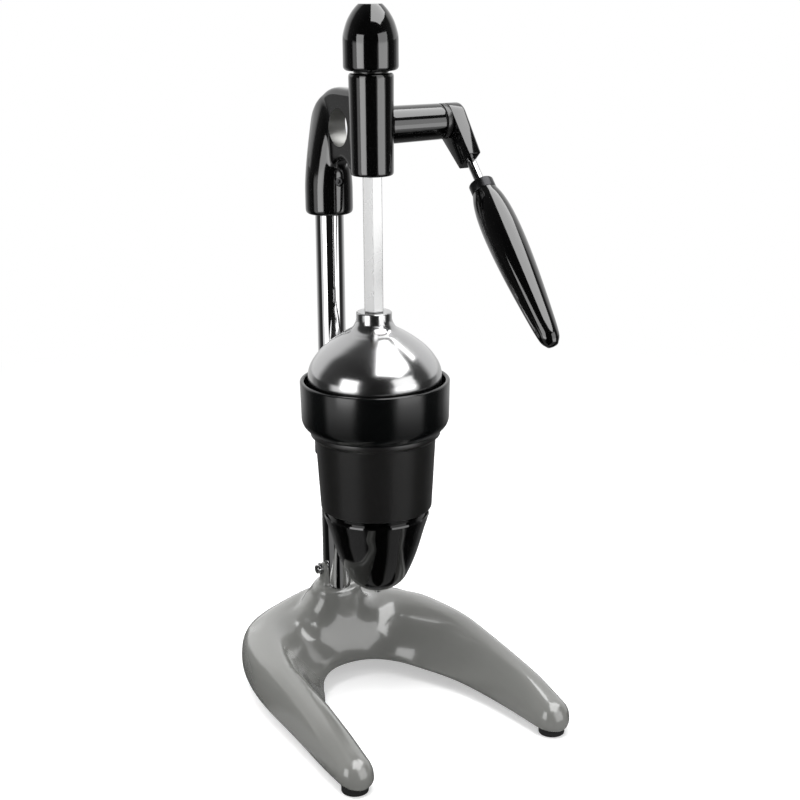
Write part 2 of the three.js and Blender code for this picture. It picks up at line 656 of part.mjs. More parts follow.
function headCasting() {
  const webShape = elbowShape(GUIDE_BOTTOM);
  const web = acrossX(webShape, -WEB_HALF_THICKNESS, WEB_HALF_THICKNESS, WEB_ROUNDING, ARC_STEPS);
  const hub = turnToX(rod(HUB_RADIUS, 0, HUB_END, FINE_SEGMENTS, HUB_END_RADIUS));
  const archFront = GUIDE_BOTTOM_RADIUS + WEB_RIB;
  const archRear = COLUMN_BACK - HEAD_BOSS_RADIUS + OVERRUN;
  const archAxis = (archFront + archRear) / 2;
  const archRadius = (archRear - archFront) / 2;
  const archHeight = WEB_ARCH_TOP - archRadius;
  const archRound = turnToX(rod(archRadius, -HEAD_BOSS_RADIUS, HEAD_BOSS_RADIUS, PLAIN_SEGMENTS));
  const archBelow = block(-HEAD_BOSS_RADIUS, HEAD_BOSS_RADIUS, archAxis - archRadius, archAxis + archRadius,
    HEAD_BOSS_BOTTOM, archHeight);
  const arch = archRound.translate([0, archAxis, archHeight]).add(archBelow);
  const limitShape = elbowShape(HEAD_BOSS_BOTTOM);
  const limit = acrossX(limitShape, -HEAD_BOSS_RADIUS, HEAD_BOSS_RADIUS, 0, ARC_STEPS);
  const sleeve = headSleeve().intersect(limit);
  let head = sleeve.add(web.subtract(arch)).add(guideBody());
  head = head.add(hub.translate([0, PINION_BACK, HUB_HEIGHT]));
  const hole = turnToX(rod(WEB_HOLE_RADIUS, -HEAD_BOSS_RADIUS, HEAD_BOSS_RADIUS, PLAIN_SEGMENTS));
  head = head.subtract(hole.translate([0, WEB_HOLE_BACK, WEB_HOLE_HEIGHT]));
  const columnBore = rod(COLUMN_RADIUS + GAP, HEAD_BOSS_BOTTOM - OVERRUN, COLUMN_TOP + GAP, FINE_SEGMENTS);
  head = head.subtract(columnBore.translate([0, COLUMN_BACK, 0]));
  const screwHole = turnToFront(rod(HEAD_SCREW_RADIUS + GAP, 0, 2 * HEAD_BOSS_RADIUS, SMALL_SEGMENTS));
  head = head.subtract(screwHole.translate([0, COLUMN_BACK, HEAD_SCREW_HEIGHT]));
  head = head.subtract(rod(BUSH_RADIUS + GAP, GUIDE_BOTTOM - OVERRUN, GUIDE_TOP + OVERRUN, PLAIN_SEGMENTS));
  const cavity = turnToX(rod(PINION_CAVITY_RADIUS, PINION_START - GAP, HUB_END + OVERRUN, PLAIN_SEGMENTS));
  return head.subtract(cavity.translate([0, PINION_BACK, HUB_HEIGHT]));
}

function headSetScrew() {
  const inner = COLUMN_RADIUS + GAP;
  const outer = HEAD_BOSS_RADIUS - GAP;
  const screw = rod(HEAD_SCREW_RADIUS, inner, outer, SMALL_SEGMENTS);
  const socket = hexBar(HEAD_SCREW_RADIUS, outer - HEAD_SCREW_SOCKET, outer + OVERRUN);
  return turnToFront(screw.subtract(socket)).translate([0, COLUMN_BACK, HEAD_SCREW_HEIGHT]);
}

function guideBush(bottom, top) {
  const bore = hexBar(RAM_FLATS + 2 * GAP, bottom - OVERRUN, top + OVERRUN + BUSH_FLANGE);
  return rod(BUSH_RADIUS, bottom, top).subtract(bore);
}

function upperBush() {
  const flangeBottom = GUIDE_TOP + GAP;
  const bush = guideBush(GUIDE_TOP - UPPER_BUSH_LENGTH, flangeBottom + GAP);
  const bore = hexBar(RAM_FLATS + 2 * GAP, flangeBottom - OVERRUN, GUIDE_TOP + BUSH_FLANGE + OVERRUN);
  return bush.add(rod(BUSH_FLANGE_RADIUS, flangeBottom, GUIDE_TOP + BUSH_FLANGE).subtract(bore));
}

function lowerBush() {
  return guideBush(GUIDE_BOTTOM, GUIDE_BOTTOM + LOWER_BUSH_LENGTH);
}

function shaftBush(start) {
  const bush = tube(SHAFT_BUSH_RADIUS, SHAFT_RADIUS + GAP, start, start + SHAFT_BUSH_LENGTH);
  return turnToX(bush).translate([0, PINION_BACK, HUB_HEIGHT]);
}

// Ram: a hexagonal bar with rack teeth in its rear half
const RACK_PITCH_LINE = PINION_BACK - PITCH_RADIUS;
const RAM_BOTTOM = DOME_NECK_TOP + GAP;
const CAP_BOTTOM = GUIDE_TOP + BUSH_FLANGE + GAP;
const RAM_TOP = CAP_BOTTOM + CAP_SOCKET;
const TOOTH_PITCH = Math.PI * MODULE;

function rackCut() {
  const tip = RACK_PITCH_LINE + MODULE;
  const root = RACK_PITCH_LINE - MODULE - ROOT_PLAY;
  const below = Math.ceil(STROKE / TOOTH_PITCH) + 2;
  const above = 2;
  const slant = Math.tan(PRESSURE_ANGLE);
  const half = TOOTH_PITCH / 4 + TOOTH_PLAY / 2;
  const points = [];
  for (let k = -below; k <= above; k += 1) {
    const z = HUB_HEIGHT + k * TOOTH_PITCH;
    const wide = half + slant * MODULE;
    const narrow = half - slant * (MODULE + ROOT_PLAY);
    points.push([tip, z - wide], [root, z - narrow], [root, z + narrow], [tip, z + wide]);
  }
  points[0] = [tip, points[0][1]];
  const back = RAM_FLATS;
  points.push([back, points[points.length - 1][1]]);
  points.push([back, points[0][1]]);
  return acrossX(polygon(points), -RAM_FLATS, RAM_FLATS);
}

function ramRack() {
  const bar = hexBar(RAM_FLATS, RAM_BOTTOM, RAM_TOP - GAP);
  const lowerStud = rod(RAM_STUD_RADIUS, DOME_CROWN - DOME_NUT - DOME_WALL, RAM_BOTTOM + GAP, SMALL_SEGMENTS);
  const upperStud = rod(RAM_STUD_RADIUS, RAM_TOP - OVERRUN, RAM_TOP + RAM_TOP_STUD - GAP, SMALL_SEGMENTS);
  return bar.subtract(rackCut()).add(lowerStud).add(upperStud);
}

// Cap: radius and height shares of its pointed outline
const capShares = [
  [1, 0.467], [0.985, 0.544], [0.935, 0.632], [0.86, 0.729], [0.775, 0.806], [0.65, 0.893], [0.52, 0.961],
];

function bulletCap() {
  const side = capShares.map(([r, z]) => [r * CAP_RADIUS, CAP_BOTTOM + z * CAP_HEIGHT]);
  const foot = rounded([
    [0, CAP_BOTTOM], [CAP_RADIUS, CAP_BOTTOM, CAP_ROUNDING], [CAP_RADIUS, CAP_BOTTOM + CAP_HEIGHT],
  ]).slice(0, -1);
  const tip = new THREE.Vector2(CAP_TIP_RADIUS, CAP_BOTTOM + CAP_HEIGHT);
  const cap = turned([...foot, ...curvePoints([...side, tip.toArray()], 7), new THREE.Vector2(0, tip.y)]);
  const socket = hexBar(RAM_FLATS + 2 * GAP, CAP_BOTTOM - OVERRUN, RAM_TOP);
  const thread = rod(RAM_STUD_RADIUS + GAP, RAM_TOP - OVERRUN, RAM_TOP + RAM_TOP_STUD, SMALL_SEGMENTS);
  return cap.subtract(socket).subtract(thread);
}

// Press dome: outline as shares of its radius and of its height from rim to neck
const domeShares = [
  [1, 0], [1.01, 0.17], [0.985, 0.28], [0.915, 0.39], [0.8, 0.51], [0.65, 0.617], [0.48, 0.715],
  [0.34, 0.785], [0.28, 0.86],
];
const domeNeckShare = 0.9;

function domeOutline(inset, steps) {
  const at = ([r, z]) => [r * DOME_RADIUS, DOME_RIM + z * DOME_HEIGHT];
  const outline = curvePoints(domeShares.map(at), steps);
  return outline.map((point) => new THREE.Vector2(Math.max(point.x - inset, 0), point.y));
}

function pressDome() {
  const neck = rounded([
    [DOME_NECK_RADIUS, DOME_RIM + domeNeckShare * DOME_HEIGHT],
    [DOME_NECK_RADIUS, DOME_NECK_TOP, DOME_WALL / 2], [0, DOME_NECK_TOP],
  ]);
  const outer = turned([new THREE.Vector2(0, DOME_RIM), ...domeOutline(0, 9), ...neck]);
  const hollow = domeOutline(DOME_WALL, 6).filter((point) => point.y < DOME_CROWN);
  const lowered = hollow.map((point) => {
    const share = (point.y - DOME_RIM) / (DOME_CROWN - DOME_RIM);
    return new THREE.Vector2(point.x, point.y - DOME_WALL * share);
  });
  const inner = turned([
    new THREE.Vector2(0, DOME_RIM - OVERRUN), new THREE.Vector2(hollow[0].x, DOME_RIM - OVERRUN),
    ...lowered, new THREE.Vector2(0, hollow[hollow.length - 1].y - DOME_WALL),
  ]);
  const bore = rod(RAM_STUD_RADIUS + GAP, DOME_RIM, DOME_NECK_TOP + OVERRUN, SMALL_SEGMENTS);
  return outer.subtract(inner).subtract(bore);
}

function domeNut() {
  const crown = domeOutline(DOME_WALL, 6).filter((point) => point.y < DOME_CROWN).pop().y - DOME_WALL;
  const top = crown - GAP;
  const nut = hexBar(DOME_NUT_FLATS, top - DOME_NUT, top);
  return nut.subtract(rod(RAM_STUD_RADIUS + GAP, top - 2 * DOME_NUT, top + OVERRUN, SMALL_SEGMENTS));
}

// Bowl holder: bowl, flange, bracket and the clamp ring on the column
function bowlHolder() {
  const outside = rounded([
    [0, BOWL_BOTTOM], [BOWL_BOTTOM_RADIUS, BOWL_BOTTOM, BOWL_WALL / 2],
    [BOWL_TOP_RADIUS, FLANGE_BOTTOM - BOWL_WALL], [FLANGE_RADIUS, FLANGE_BOTTOM],
    [FLANGE_RADIUS, CUP_STEP - GAP, BOWL_WALL / 4], [0, CUP_STEP - GAP],
  ]);
  const bracket = block(-BRACKET_WIDTH / 2, BRACKET_WIDTH / 2, 0, COLUMN_BACK, BRACKET_BOTTOM, BRACKET_TOP);
  const clamp = turned(rounded([
    [0, BRACKET_BOTTOM], [CLAMP_RADIUS, BRACKET_BOTTOM, GUIDE_ROUNDING / 2],
    [CLAMP_RADIUS, BRACKET_TOP, GUIDE_ROUNDING / 2], [0, BRACKET_TOP],
  ]), PLAIN_SEGMENTS).translate([0, COLUMN_BACK, 0]);
  const inside = turned([
    [0, BOWL_BOTTOM + BOWL_WALL], [BOWL_BOTTOM_RADIUS - BOWL_WALL, BOWL_BOTTOM + BOWL_WALL],
    [BOWL_TOP_RADIUS - BOWL_WALL, CUP_STEP + OVERRUN], [0, CUP_STEP + OVERRUN],
  ].map(([r, z]) => new THREE.Vector2(r, z)));
  const drain = rod(CONE_NECK_RADIUS + GAP, BOWL_BOTTOM - OVERRUN, BOWL_BOTTOM + 2 * BOWL_WALL, FINE_SEGMENTS);
  const bore = rod(COLUMN_RADIUS + GAP, BRACKET_BOTTOM - OVERRUN, BRACKET_TOP + OVERRUN);
  const screwHole = turnToFront(rod(CLAMP_SCREW_RADIUS + GAP, -2 * CLAMP_RADIUS, 0, SMALL_SEGMENTS));
  const screwHeight = (BRACKET_TOP + BRACKET_BOTTOM) / 2;
  return turned(outside).add(bracket).add(clamp).subtract(inside).subtract(drain)
    .subtract(bore.translate([0, COLUMN_BACK, 0]))
    .subtract(screwHole.translate([0, COLUMN_BACK, screwHeight]));
}

function holderScrew() {
  const seat = CLAMP_RADIUS + GAP;
  const shank = rod(CLAMP_SCREW_RADIUS, COLUMN_RADIUS + GAP, seat + GAP, SMALL_SEGMENTS);
  const head = rod(CLAMP_SCREW_HEAD_RADIUS, seat, seat + CLAMP_SCREW_HEAD, SMALL_SEGMENTS);
  const socket = hexBar(CLAMP_SCREW_HEAD_RADIUS, seat + CLAMP_SCREW_HEAD / 2, seat + 2 * CLAMP_SCREW_HEAD);
  const screw = head.add(shank).subtract(socket).rotate([-90, 0, 0]);
  return screw.translate([0, COLUMN_BACK, (BRACKET_TOP + BRACKET_BOTTOM) / 2]);
}

// Drip cone: outline shares of its radius and of its height from bottom to shoulder
const coneShares = [
  [0.2, 0], [0.34, 0.04], [0.52, 0.14], [0.65, 0.3], [0.75, 0.46], [0.83, 0.62], [0.9, 0.78], [0.96, 0.9],
];
const spoutSeatShare = 0.16;
const CONE_INNER_SHOULDER = BOWL_BOTTOM + BOWL_WALL + GAP;

function dripCone() {
  const side = coneShares.map(([r, z]) => [r * CONE_RADIUS, CONE_BOTTOM + z * CONE_HEIGHT]);
  const outer = curvePoints([...side, [CONE_RADIUS, CONE_TOP - CONE_WALL / 2]], 8);
  const flangeRadius = BOWL_BOTTOM_RADIUS - BOWL_WALL - GAP;
  const flangeTop = CONE_INNER_SHOULDER + CONE_FLANGE;
  const upper = [
    [CONE_RADIUS - CONE_WALL / 2, CONE_TOP], [CONE_NECK_RADIUS, CONE_TOP],
    [CONE_NECK_RADIUS, CONE_INNER_SHOULDER], [flangeRadius, CONE_INNER_SHOULDER],
    [flangeRadius, flangeTop], [0, flangeTop],
  ].map(([r, z]) => new THREE.Vector2(r, z));
  const profile = [new THREE.Vector2(0, CONE_BOTTOM), ...outer, ...upper];
  const hollow = outer.filter((point, i) => i > 1 && i % 2 === 0).map((point) => {
    const radius = Math.min(point.x, CONE_NECK_RADIUS) - CONE_WALL;
    return new THREE.Vector2(radius, point.y + CONE_WALL);
  });
  const inner = [
    new THREE.Vector2(0, hollow[0].y - CONE_WALL), ...hollow,
    new THREE.Vector2(hollow[hollow.length - 1].x, flangeTop + OVERRUN),
    new THREE.Vector2(0, flangeTop + OVERRUN),
  ];
  const bore = rod(SPOUT_RADIUS + GAP, CONE_BOTTOM - OVERRUN, CONE_TOP, SMALL_SEGMENTS);
  return turned(profile).subtract(turned(inner)).subtract(bore);
}

function spoutTip() {
  const bottom = CONE_BOTTOM - SPOUT_DROP;
  const floor = CONE_BOTTOM + spoutSeatShare * CONE_HEIGHT;
  const body = turned(rounded([
    [0, bottom], [SPOUT_RADIUS, bottom, SPOUT_WALL], [SPOUT_RADIUS, floor], [0, floor],
  ]), SMALL_SEGMENTS);
  return body.subtract(rod(SPOUT_RADIUS - SPOUT_WALL, bottom - OVERRUN, floor + OVERRUN, SMALL_SEGMENTS));
}

// Juice cup on the bowl's flange, with a spigot into the bowl
function juiceCup() {
  const spigotRadius = BOWL_TOP_RADIUS - BOWL_WALL - GAP;
  const spigotInner = spigotRadius - CUP_WALL;
  return ringOf(rounded([
    [spigotInner, CUP_STEP - CUP_SPIGOT], [spigotRadius - CUP_WALL / 4, CUP_STEP - CUP_SPIGOT],
    [spigotRadius - CUP_WALL / 4, CUP_STEP], [CUP_STEP_RADIUS, CUP_STEP],
    [CUP_FOOT_RADIUS, CUP_STEP + CUP_SHOULDER, CUP_SHOULDER / 3],
    [CUP_RADIUS, CUP_RIM, CUP_WALL / 2 - GAP], [CUP_RADIUS - CUP_WALL, CUP_RIM, CUP_WALL / 2 - GAP],
    [CUP_FOOT_RADIUS - CUP_WALL, CUP_STEP + CUP_FLOOR], [spigotInner, CUP_STEP + CUP_FLOOR],
  ]));
}

// Strainer: a shallow pan with slots in its floor
function strainerCup() {
  const radius = CUP_FOOT_RADIUS - CUP_WALL - GAP;
  const inside = radius - STRAINER_WALL;
  const floor = STRAINER_BOTTOM + STRAINER_WALL;
  const rim = STRAINER_BOTTOM + STRAINER_HEIGHT;
  const pan = turned(rounded([
    [0, STRAINER_BOTTOM], [radius, STRAINER_BOTTOM, STRAINER_WALL], [radius, rim],
    [inside, rim], [inside, floor], [0, floor],
  ], 1));
  const start = REAMER_RADIUS + STRAINER_SLOT_WIDTH;
  const end = radius - 3 * STRAINER_SLOT_WIDTH;
  let result = pan;
  for (let k = 0; k < STRAINER_SLOT_COUNT; k += 1) {
    const slot = block(start, end, -STRAINER_SLOT_WIDTH / 2, STRAINER_SLOT_WIDTH / 2,
      STRAINER_BOTTOM - OVERRUN, STRAINER_BOTTOM + STRAINER_WALL + OVERRUN);
    result = result.subtract(slot.rotate([0, 0, 360 * k / STRAINER_SLOT_COUNT]));
  }
  return result;
}

// Reamer: a ribbed cone, its profile as shares of radius and height
const reamerShares = [[1, 0], [0.96, 0.12], [0.84, 0.35], [0.66, 0.6], [0.42, 0.83], [0.18, 0.96], [0.05, 1]];
const REAMER_STEPS = 7;

function reamerCone() {
  const corners = reamerShares.map(([r, z]) => [r * REAMER_RADIUS, z * REAMER_HEIGHT]);
  const outline = curvePoints(corners, REAMER_STEPS);
  const count = REAMER_RIBS * 4;
  const rings = outline.map((point) => {
    const ring = [];
    const share = point.x / REAMER_RADIUS;
    const depth = REAMER_RIB_DEPTH * Math.min(1, 3 * share) * share;
    for (let j = 0; j < count; j += 1) {
      const angle = FULL_TURN * j / count;
      const radius = point.x - depth * (1 + Math.cos(REAMER_RIBS * angle)) / 2;
      const z = REAMER_BOTTOM + point.y;
      ring.push(new THREE.Vector3(radius * Math.cos(angle), radius * Math.sin(angle), z));
    }
    return ring;
  });
  return skin(rings);
}

// Lever shaft with its pinion
function involutePoint(baseRadius, roll) {
  return new THREE.Vector2(
    baseRadius * (Math.cos(roll) + roll * Math.sin(roll)),
    baseRadius * (Math.sin(roll) - roll * Math.cos(roll)));
}

const FLANK_STEPS = 3;

function pinionShape() {
  const baseRadius = PITCH_RADIUS * Math.cos(PRESSURE_ANGLE);
  const rootRadius = PITCH_RADIUS - MODULE - ROOT_PLAY;
  const involute = Math.tan(PRESSURE_ANGLE) - PRESSURE_ANGLE;
  const halfTooth = (TOOTH_PITCH / 2 - TOOTH_PLAY) / 2 / PITCH_RADIUS;
  const lastRoll = Math.sqrt((PINION_TIP_RADIUS / baseRadius) ** 2 - 1);
  const flank = [new THREE.Vector2(rootRadius, 0)];
  for (let k = 0; k <= FLANK_STEPS; k += 1) {
    flank.push(involutePoint(baseRadius, lastRoll * k / FLANK_STEPS));
  }
  const centre = new THREE.Vector2();
  const points = [];
  for (let tooth = 0; tooth < PINION_TEETH; tooth += 1) {
    const axis = Math.PI + FULL_TURN * tooth / PINION_TEETH;
    for (const point of flank) points.push(point.clone().rotateAround(centre, axis - halfTooth - involute));
    for (const point of [...flank].reverse()) {
      const mirrored = new THREE.Vector2(point.x, -point.y);
      points.push(mirrored.rotateAround(centre, axis + halfTooth + involute));
    }
  }
  return polygon(points);
}

const ARM_INNER_FACE = HUB_END + THRUST_WASHER + 2 * GAP;
const ARM_OUTER_FACE = ARM_INNER_FACE + ARM_WIDTH;
const LEVER_PLANE = ARM_OUTER_FACE - (ARM_WIDTH - ARM_END_INSET) / 2;
const INNER_BUSH_START = PINION_END + GAP;
const OUTER_BUSH_START = HUB_END - SHAFT_BUSH_LENGTH;

function pinionShaft() {
  const gear = acrossX(pinionShape(), PINION_START, PINION_END);
  const shaft = turnToX(rod(SHAFT_RADIUS, PINION_END - GAP, ARM_OUTER_FACE - 2 * GAP - ARM_ROUNDING));
  const screwSeat = rod(ARM_SCREW_RADIUS + GAP, 0, 2 * SHAFT_RADIUS, SMALL_SEGMENTS);
  const dimple = screwSeat.translate([ARM_INNER_FACE + ARM_WIDTH / 2, 0, SHAFT_RADIUS - GAP]);
  return atHub(gear.add(shaft).subtract(dimple.rotate([leverTilt(), 0, 0])));
}

function thrustWasher() {
  const washer = tube(HUB_END_RADIUS, SHAFT_RADIUS + GAP, HUB_END + GAP, HUB_END + GAP + THRUST_WASHER);
  return atHub(turnToX(washer));
}

const atHub = (solid) => solid.translate([0, PINION_BACK, HUB_HEIGHT]);

// The lever is drawn hanging straight down from the hub and then swung forward to its rest angle
const leverTilt = () => -LEVER_REST_ANGLE * 180 / Math.PI;
const swung = (solid) => atHub(solid.rotate([leverTilt(), 0, 0]));

function crankArm() {
  const shape = new THREE.Shape();
  const lean = Math.asin((HUB_END_RADIUS - ARM_END_HALF_HEIGHT) / ARM_LENGTH);
  shape.absarc(0, 0, HUB_END_RADIUS, -lean, Math.PI + lean);
  shape.lineTo(-ARM_END_HALF_HEIGHT, -ARM_LENGTH);
  shape.lineTo(ARM_END_HALF_HEIGHT, -ARM_LENGTH);
  const start = ARM_INNER_FACE - 2 * ARM_ROUNDING;
  const body = acrossX(shape, start, ARM_OUTER_FACE, ARM_ROUNDING, ARC_STEPS);
  const inside = alongLever([
    [start - OVERRUN, 2 * HUB_END_RADIUS], [start - OVERRUN, -2 * ARM_LENGTH],
    [ARM_INNER_FACE + ARM_END_INSET, -2 * ARM_LENGTH], [ARM_INNER_FACE + ARM_END_INSET, -ARM_LENGTH],
    [ARM_INNER_FACE, -HUB_END_RADIUS], [ARM_INNER_FACE, 2 * HUB_END_RADIUS],
  ]);
  const bore = turnToX(rod(SHAFT_RADIUS + GAP, HUB_END, ARM_OUTER_FACE - ARM_ROUNDING));
  const rodTop = LEVER_ROD_SOCKET - ARM_LENGTH;
  const rodBore = rod(LEVER_ROD_RADIUS + GAP, -ARM_LENGTH - OVERRUN, rodTop, SMALL_SEGMENTS);
  const screwHole = rod(ARM_SCREW_RADIUS + GAP, 0, 2 * SHAFT_RADIUS, SMALL_SEGMENTS);
  return swung(body.subtract(inside).subtract(bore)
    .subtract(rodBore.translate([LEVER_PLANE, 0, 0]))
    .subtract(screwHole.translate([ARM_INNER_FACE + ARM_WIDTH / 2, 0, 0])));
}

// A polygon drawn as (x, z), pushed from front to back
function alongLever(points) {
  const geometry = new THREE.ExtrudeGeometry(polygon(points), { depth: 4 * HUB_RADIUS, bevelEnabled: false });
  return solidOf(geometry.rotateX(Math.PI / 2).translate(0, 2 * HUB_RADIUS, 0));
}

function armSetScrew() {
  const screw = rod(ARM_SCREW_RADIUS, SHAFT_RADIUS, HUB_END_RADIUS - 2 * GAP, SMALL_SEGMENTS);
  const socket = hexBar(ARM_SCREW_RADIUS, HUB_END_RADIUS - EAR_SCREW_HEAD, HUB_END_RADIUS);
  return swung(screw.subtract(socket).translate([ARM_INNER_FACE + ARM_WIDTH / 2, 0, 0]));
}

const GRIP_START = FERRULE_START + FERRULE_LENGTH + GAP;

function leverRod() {
  const top = -ARM_LENGTH + LEVER_ROD_SOCKET - GAP;
  const bottom = -GRIP_START - GRIP_BORE_DEPTH + GAP;
  return swung(rod(LEVER_ROD_RADIUS, bottom, top, SMALL_SEGMENTS).translate([LEVER_PLANE, 0, 0]));
}

function ferrule() {
  const collar = ringOf(rounded([
    [LEVER_ROD_RADIUS + GAP, -FERRULE_START - FERRULE_LENGTH],
    [FERRULE_RADIUS, -FERRULE_START - FERRULE_LENGTH, GAP],
    [FERRULE_RADIUS, -FERRULE_START, GAP], [LEVER_ROD_RADIUS + GAP, -FERRULE_START],
  ]), SMALL_SEGMENTS * 2);
  return swung(collar.translate([LEVER_PLANE, 0, 0]));
}

// Grip: radius and length shares from the ferrule to the tip
const gripShares = [
  [0.68, 0], [0.84, 0.06], [0.95, 0.14], [1, 0.25], [0.985, 0.38], [0.92, 0.52], [0.82, 0.66],
  [0.7, 0.8], [0.6, 0.9], [0.5, 0.955], [0.3, 0.99],
];

function grip() {
  const side = gripShares.map(([r, z]) => [r * GRIP_RADIUS, -GRIP_START - z * GRIP_LENGTH]);
  const top = new THREE.Vector2(0, -GRIP_START);
  const tip = new THREE.Vector2(0, -GRIP_START - GRIP_LENGTH);
  const points = [top, ...curvePoints(side, 12), tip];
  const boreEnd = -GRIP_START - GRIP_BORE_DEPTH;
  const bore = rod(LEVER_ROD_RADIUS + GAP, boreEnd, -GRIP_START + OVERRUN, SMALL_SEGMENTS);
  return swung(turned(points, PLAIN_SEGMENTS).subtract(bore).translate([LEVER_PLANE, 0, 0]));
}

// Materials
function finish(color, roughness, metalness) {
  return () => new THREE.MeshStandardMaterial({ color, roughness, metalness });
}

const greyPaint = finish(0x6f716b, 0.3, 0.1);
const blackPaint = finish(0x101010, 0.15, 0);
const satinBlack = finish(0x262626, 0.35, 0);
const chrome = finish(0xd8d8d8, 0.08, 1);
const steel = finish(0xb9b9b7, 0.3, 1);
const darkSteel = finish(0x4a4a4c, 0.4, 1);
const bronze = finish(0x9a7b4a, 0.4, 1);
const rubber = finish(0x141414, 0.8, 0);

const part = new THREE.Group();
part.name = 'lever_citrus_press';

function add(name, solid, material) {
  const mesh = new THREE.Mesh(geometryOf(solid), material());
  mesh.name = name;
  part.add(mesh);
}

add('base_casting', baseCasting(), greyPaint);
const footNames = ['front_left', 'front_right', 'rear_left', 'rear_right'];
footPlaces().forEach((place, i) => {
  add(`rubber_foot_${footNames[i]}`, rubberFoot(place), rubber);
  add(`foot_screw_${footNames[i]}`, footScrew(place), steel);
});
add('column', column(), chrome);
add('column_washer', columnWasher(), steel);
add('column_bolt', columnBolt(), darkSteel);
for (const [side, name] of [[-1, 'left'], [1, 'right']]) {
  add(`column_clamp_washer_${name}`, earWasher(side), steel);
  add(`column_clamp_screw_${name}`, earScrew(side), chrome);
}
add('head_casting', headCasting(), blackPaint);
add('head_set_screw', headSetScrew(), darkSteel);
add('upper_ram_bush', upperBush(), satinBlack);
add('lower_ram_bush', lowerBush(), bronze);
add('inner_shaft_bush', shaftBush(INNER_BUSH_START), bronze);
add('outer_shaft_bush', shaftBush(OUTER_BUSH_START), bronze);
add('bowl_holder', bowlHolder(), satinBlack);
add('holder_clamp_screw', holderScrew(), darkSteel);
add('drip_cone', dripCone(), blackPaint);
add('spout_tip', spoutTip(), chrome);
add('juice_cup', juiceCup(), blackPaint);
add('strainer_cup', strainerCup(), steel);
add('reamer_cone', reamerCone(), steel);
add('ram_rack', ramRack(), steel);
add('press_dome', pressDome(), steel);
add('dome_nut', domeNut(), darkSteel);
add('bullet_cap', bulletCap(), blackPaint);
add('pinion_shaft', pinionShaft(), steel);
add('thrust_washer', thrustWasher(), satinBlack);
add('crank_arm', crankArm(), blackPaint);
add('arm_set_screw', armSetScrew(), darkSteel);
add('lever_rod', leverRod(), chrome);
add('lever_ferrule', ferrule(), darkSteel);
add('lever_grip', grip(), blackPaint);

// The origin goes to the bottom centre of the whole part
const box = new THREE.Box3().setFromObject(part);
const centre = box.getCenter(new THREE.Vector3());
part.position.set(-centre.x, -centre.y, -box.min.z);

export default part;
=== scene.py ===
# %% [markdown]
# # A lever citrus juice press
#
# The press stands on a horseshoe casting. A chrome column rises from the casting and carries a black
# head. A lever turns a pinion inside the head, the pinion drives a rack, and the rack carries a polished
# dome down onto half a fruit. The juice runs through a bowl and a cone into a glass between the legs.
#
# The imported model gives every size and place. Each cell below makes one piece again with smooth faces
# and a finish of its own, and lets it ride on the body that the CAD piece belongs to.

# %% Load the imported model
import json
import math

import bmesh
import bpy
from mathutils import Matrix, Vector


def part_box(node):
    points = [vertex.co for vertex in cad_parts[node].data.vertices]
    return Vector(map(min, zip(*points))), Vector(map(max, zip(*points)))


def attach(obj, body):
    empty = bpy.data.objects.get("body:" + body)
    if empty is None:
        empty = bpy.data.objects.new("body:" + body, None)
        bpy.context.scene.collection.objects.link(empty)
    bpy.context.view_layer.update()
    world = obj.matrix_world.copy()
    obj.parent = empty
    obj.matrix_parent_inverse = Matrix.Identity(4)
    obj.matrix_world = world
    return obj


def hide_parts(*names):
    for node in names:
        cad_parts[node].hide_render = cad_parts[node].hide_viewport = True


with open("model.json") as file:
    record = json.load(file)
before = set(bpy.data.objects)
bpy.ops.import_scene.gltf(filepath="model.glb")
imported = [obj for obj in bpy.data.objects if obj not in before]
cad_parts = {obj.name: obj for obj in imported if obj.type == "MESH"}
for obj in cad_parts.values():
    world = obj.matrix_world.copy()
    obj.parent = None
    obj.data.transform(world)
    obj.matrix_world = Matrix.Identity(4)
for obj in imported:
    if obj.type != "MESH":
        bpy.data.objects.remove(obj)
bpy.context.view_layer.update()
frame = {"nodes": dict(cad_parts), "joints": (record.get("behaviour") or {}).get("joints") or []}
nodes = frame["nodes"]
MM = 0.001


def middle_of(node):
    """The middle of a CAD node's box, in millimetres."""
    low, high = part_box(node)
    return (low + high) / 2 / MM


def levels_of(node):
    """The lowest and the highest z of a CAD node's box, in millimetres."""
    low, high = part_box(node)
    return low.z / MM, high.z / MM


def add_object(name, data):
    """Puts a mesh, a lamp or a camera into the scene."""
    obj = bpy.data.objects.new(name, data)
    bpy.context.scene.collection.objects.link(obj)
    return obj


hinge = Vector(next(j for j in frame["joints"] if j["name"] == "lever_turn")["pos_m"]) / MM
ram_back = middle_of("bullet_cap").y
column_back = middle_of("column").y
print("ram axis y", round(ram_back, 3), "column axis y", round(column_back, 3), "hub", hinge)

# %% [markdown]
# ## The camera
#
# The view was worked out from the photograph: the circles of the cup and the flange give the height of
# the eye, and the two vertical axes give its direction. A 72 mm lens on a 36 mm sensor has the same
# perspective as the picture. The three columns are the camera's right, up and back directions.

# %% Place the camera
camera_data = bpy.data.cameras.new("camera")
camera_data.lens = 72
camera_data.sensor_width = 36
camera = add_object("camera", camera_data)
camera_right = Vector((0.86442, -0.50271, -0.00807))
camera_up = Vector((0.14504, 0.23396, 0.96137))
camera_back = camera_right.cross(camera_up)
turn = Matrix((camera_right, camera_up, camera_back)).transposed().to_4x4()
eye = (-0.51735, -0.92862 + ram_back * MM, 0.53072)
camera.matrix_world = Matrix.Translation(eye) @ turn
bpy.context.scene.camera = camera
bpy.context.scene.view_settings.view_transform = "Standard"
print("camera at", [round(v, 4) for v in camera.location])

# %% [markdown]
# ## Tools for making pieces
#
# Most pieces of the press were turned on a lathe, so one tool does for them: it draws half of the
# section as a line of points, rounds the corners that need it, and spins the line about the axis.
# A vertex bevel rounds a corner of a wire, and a full spin with use_merge closes the seam.

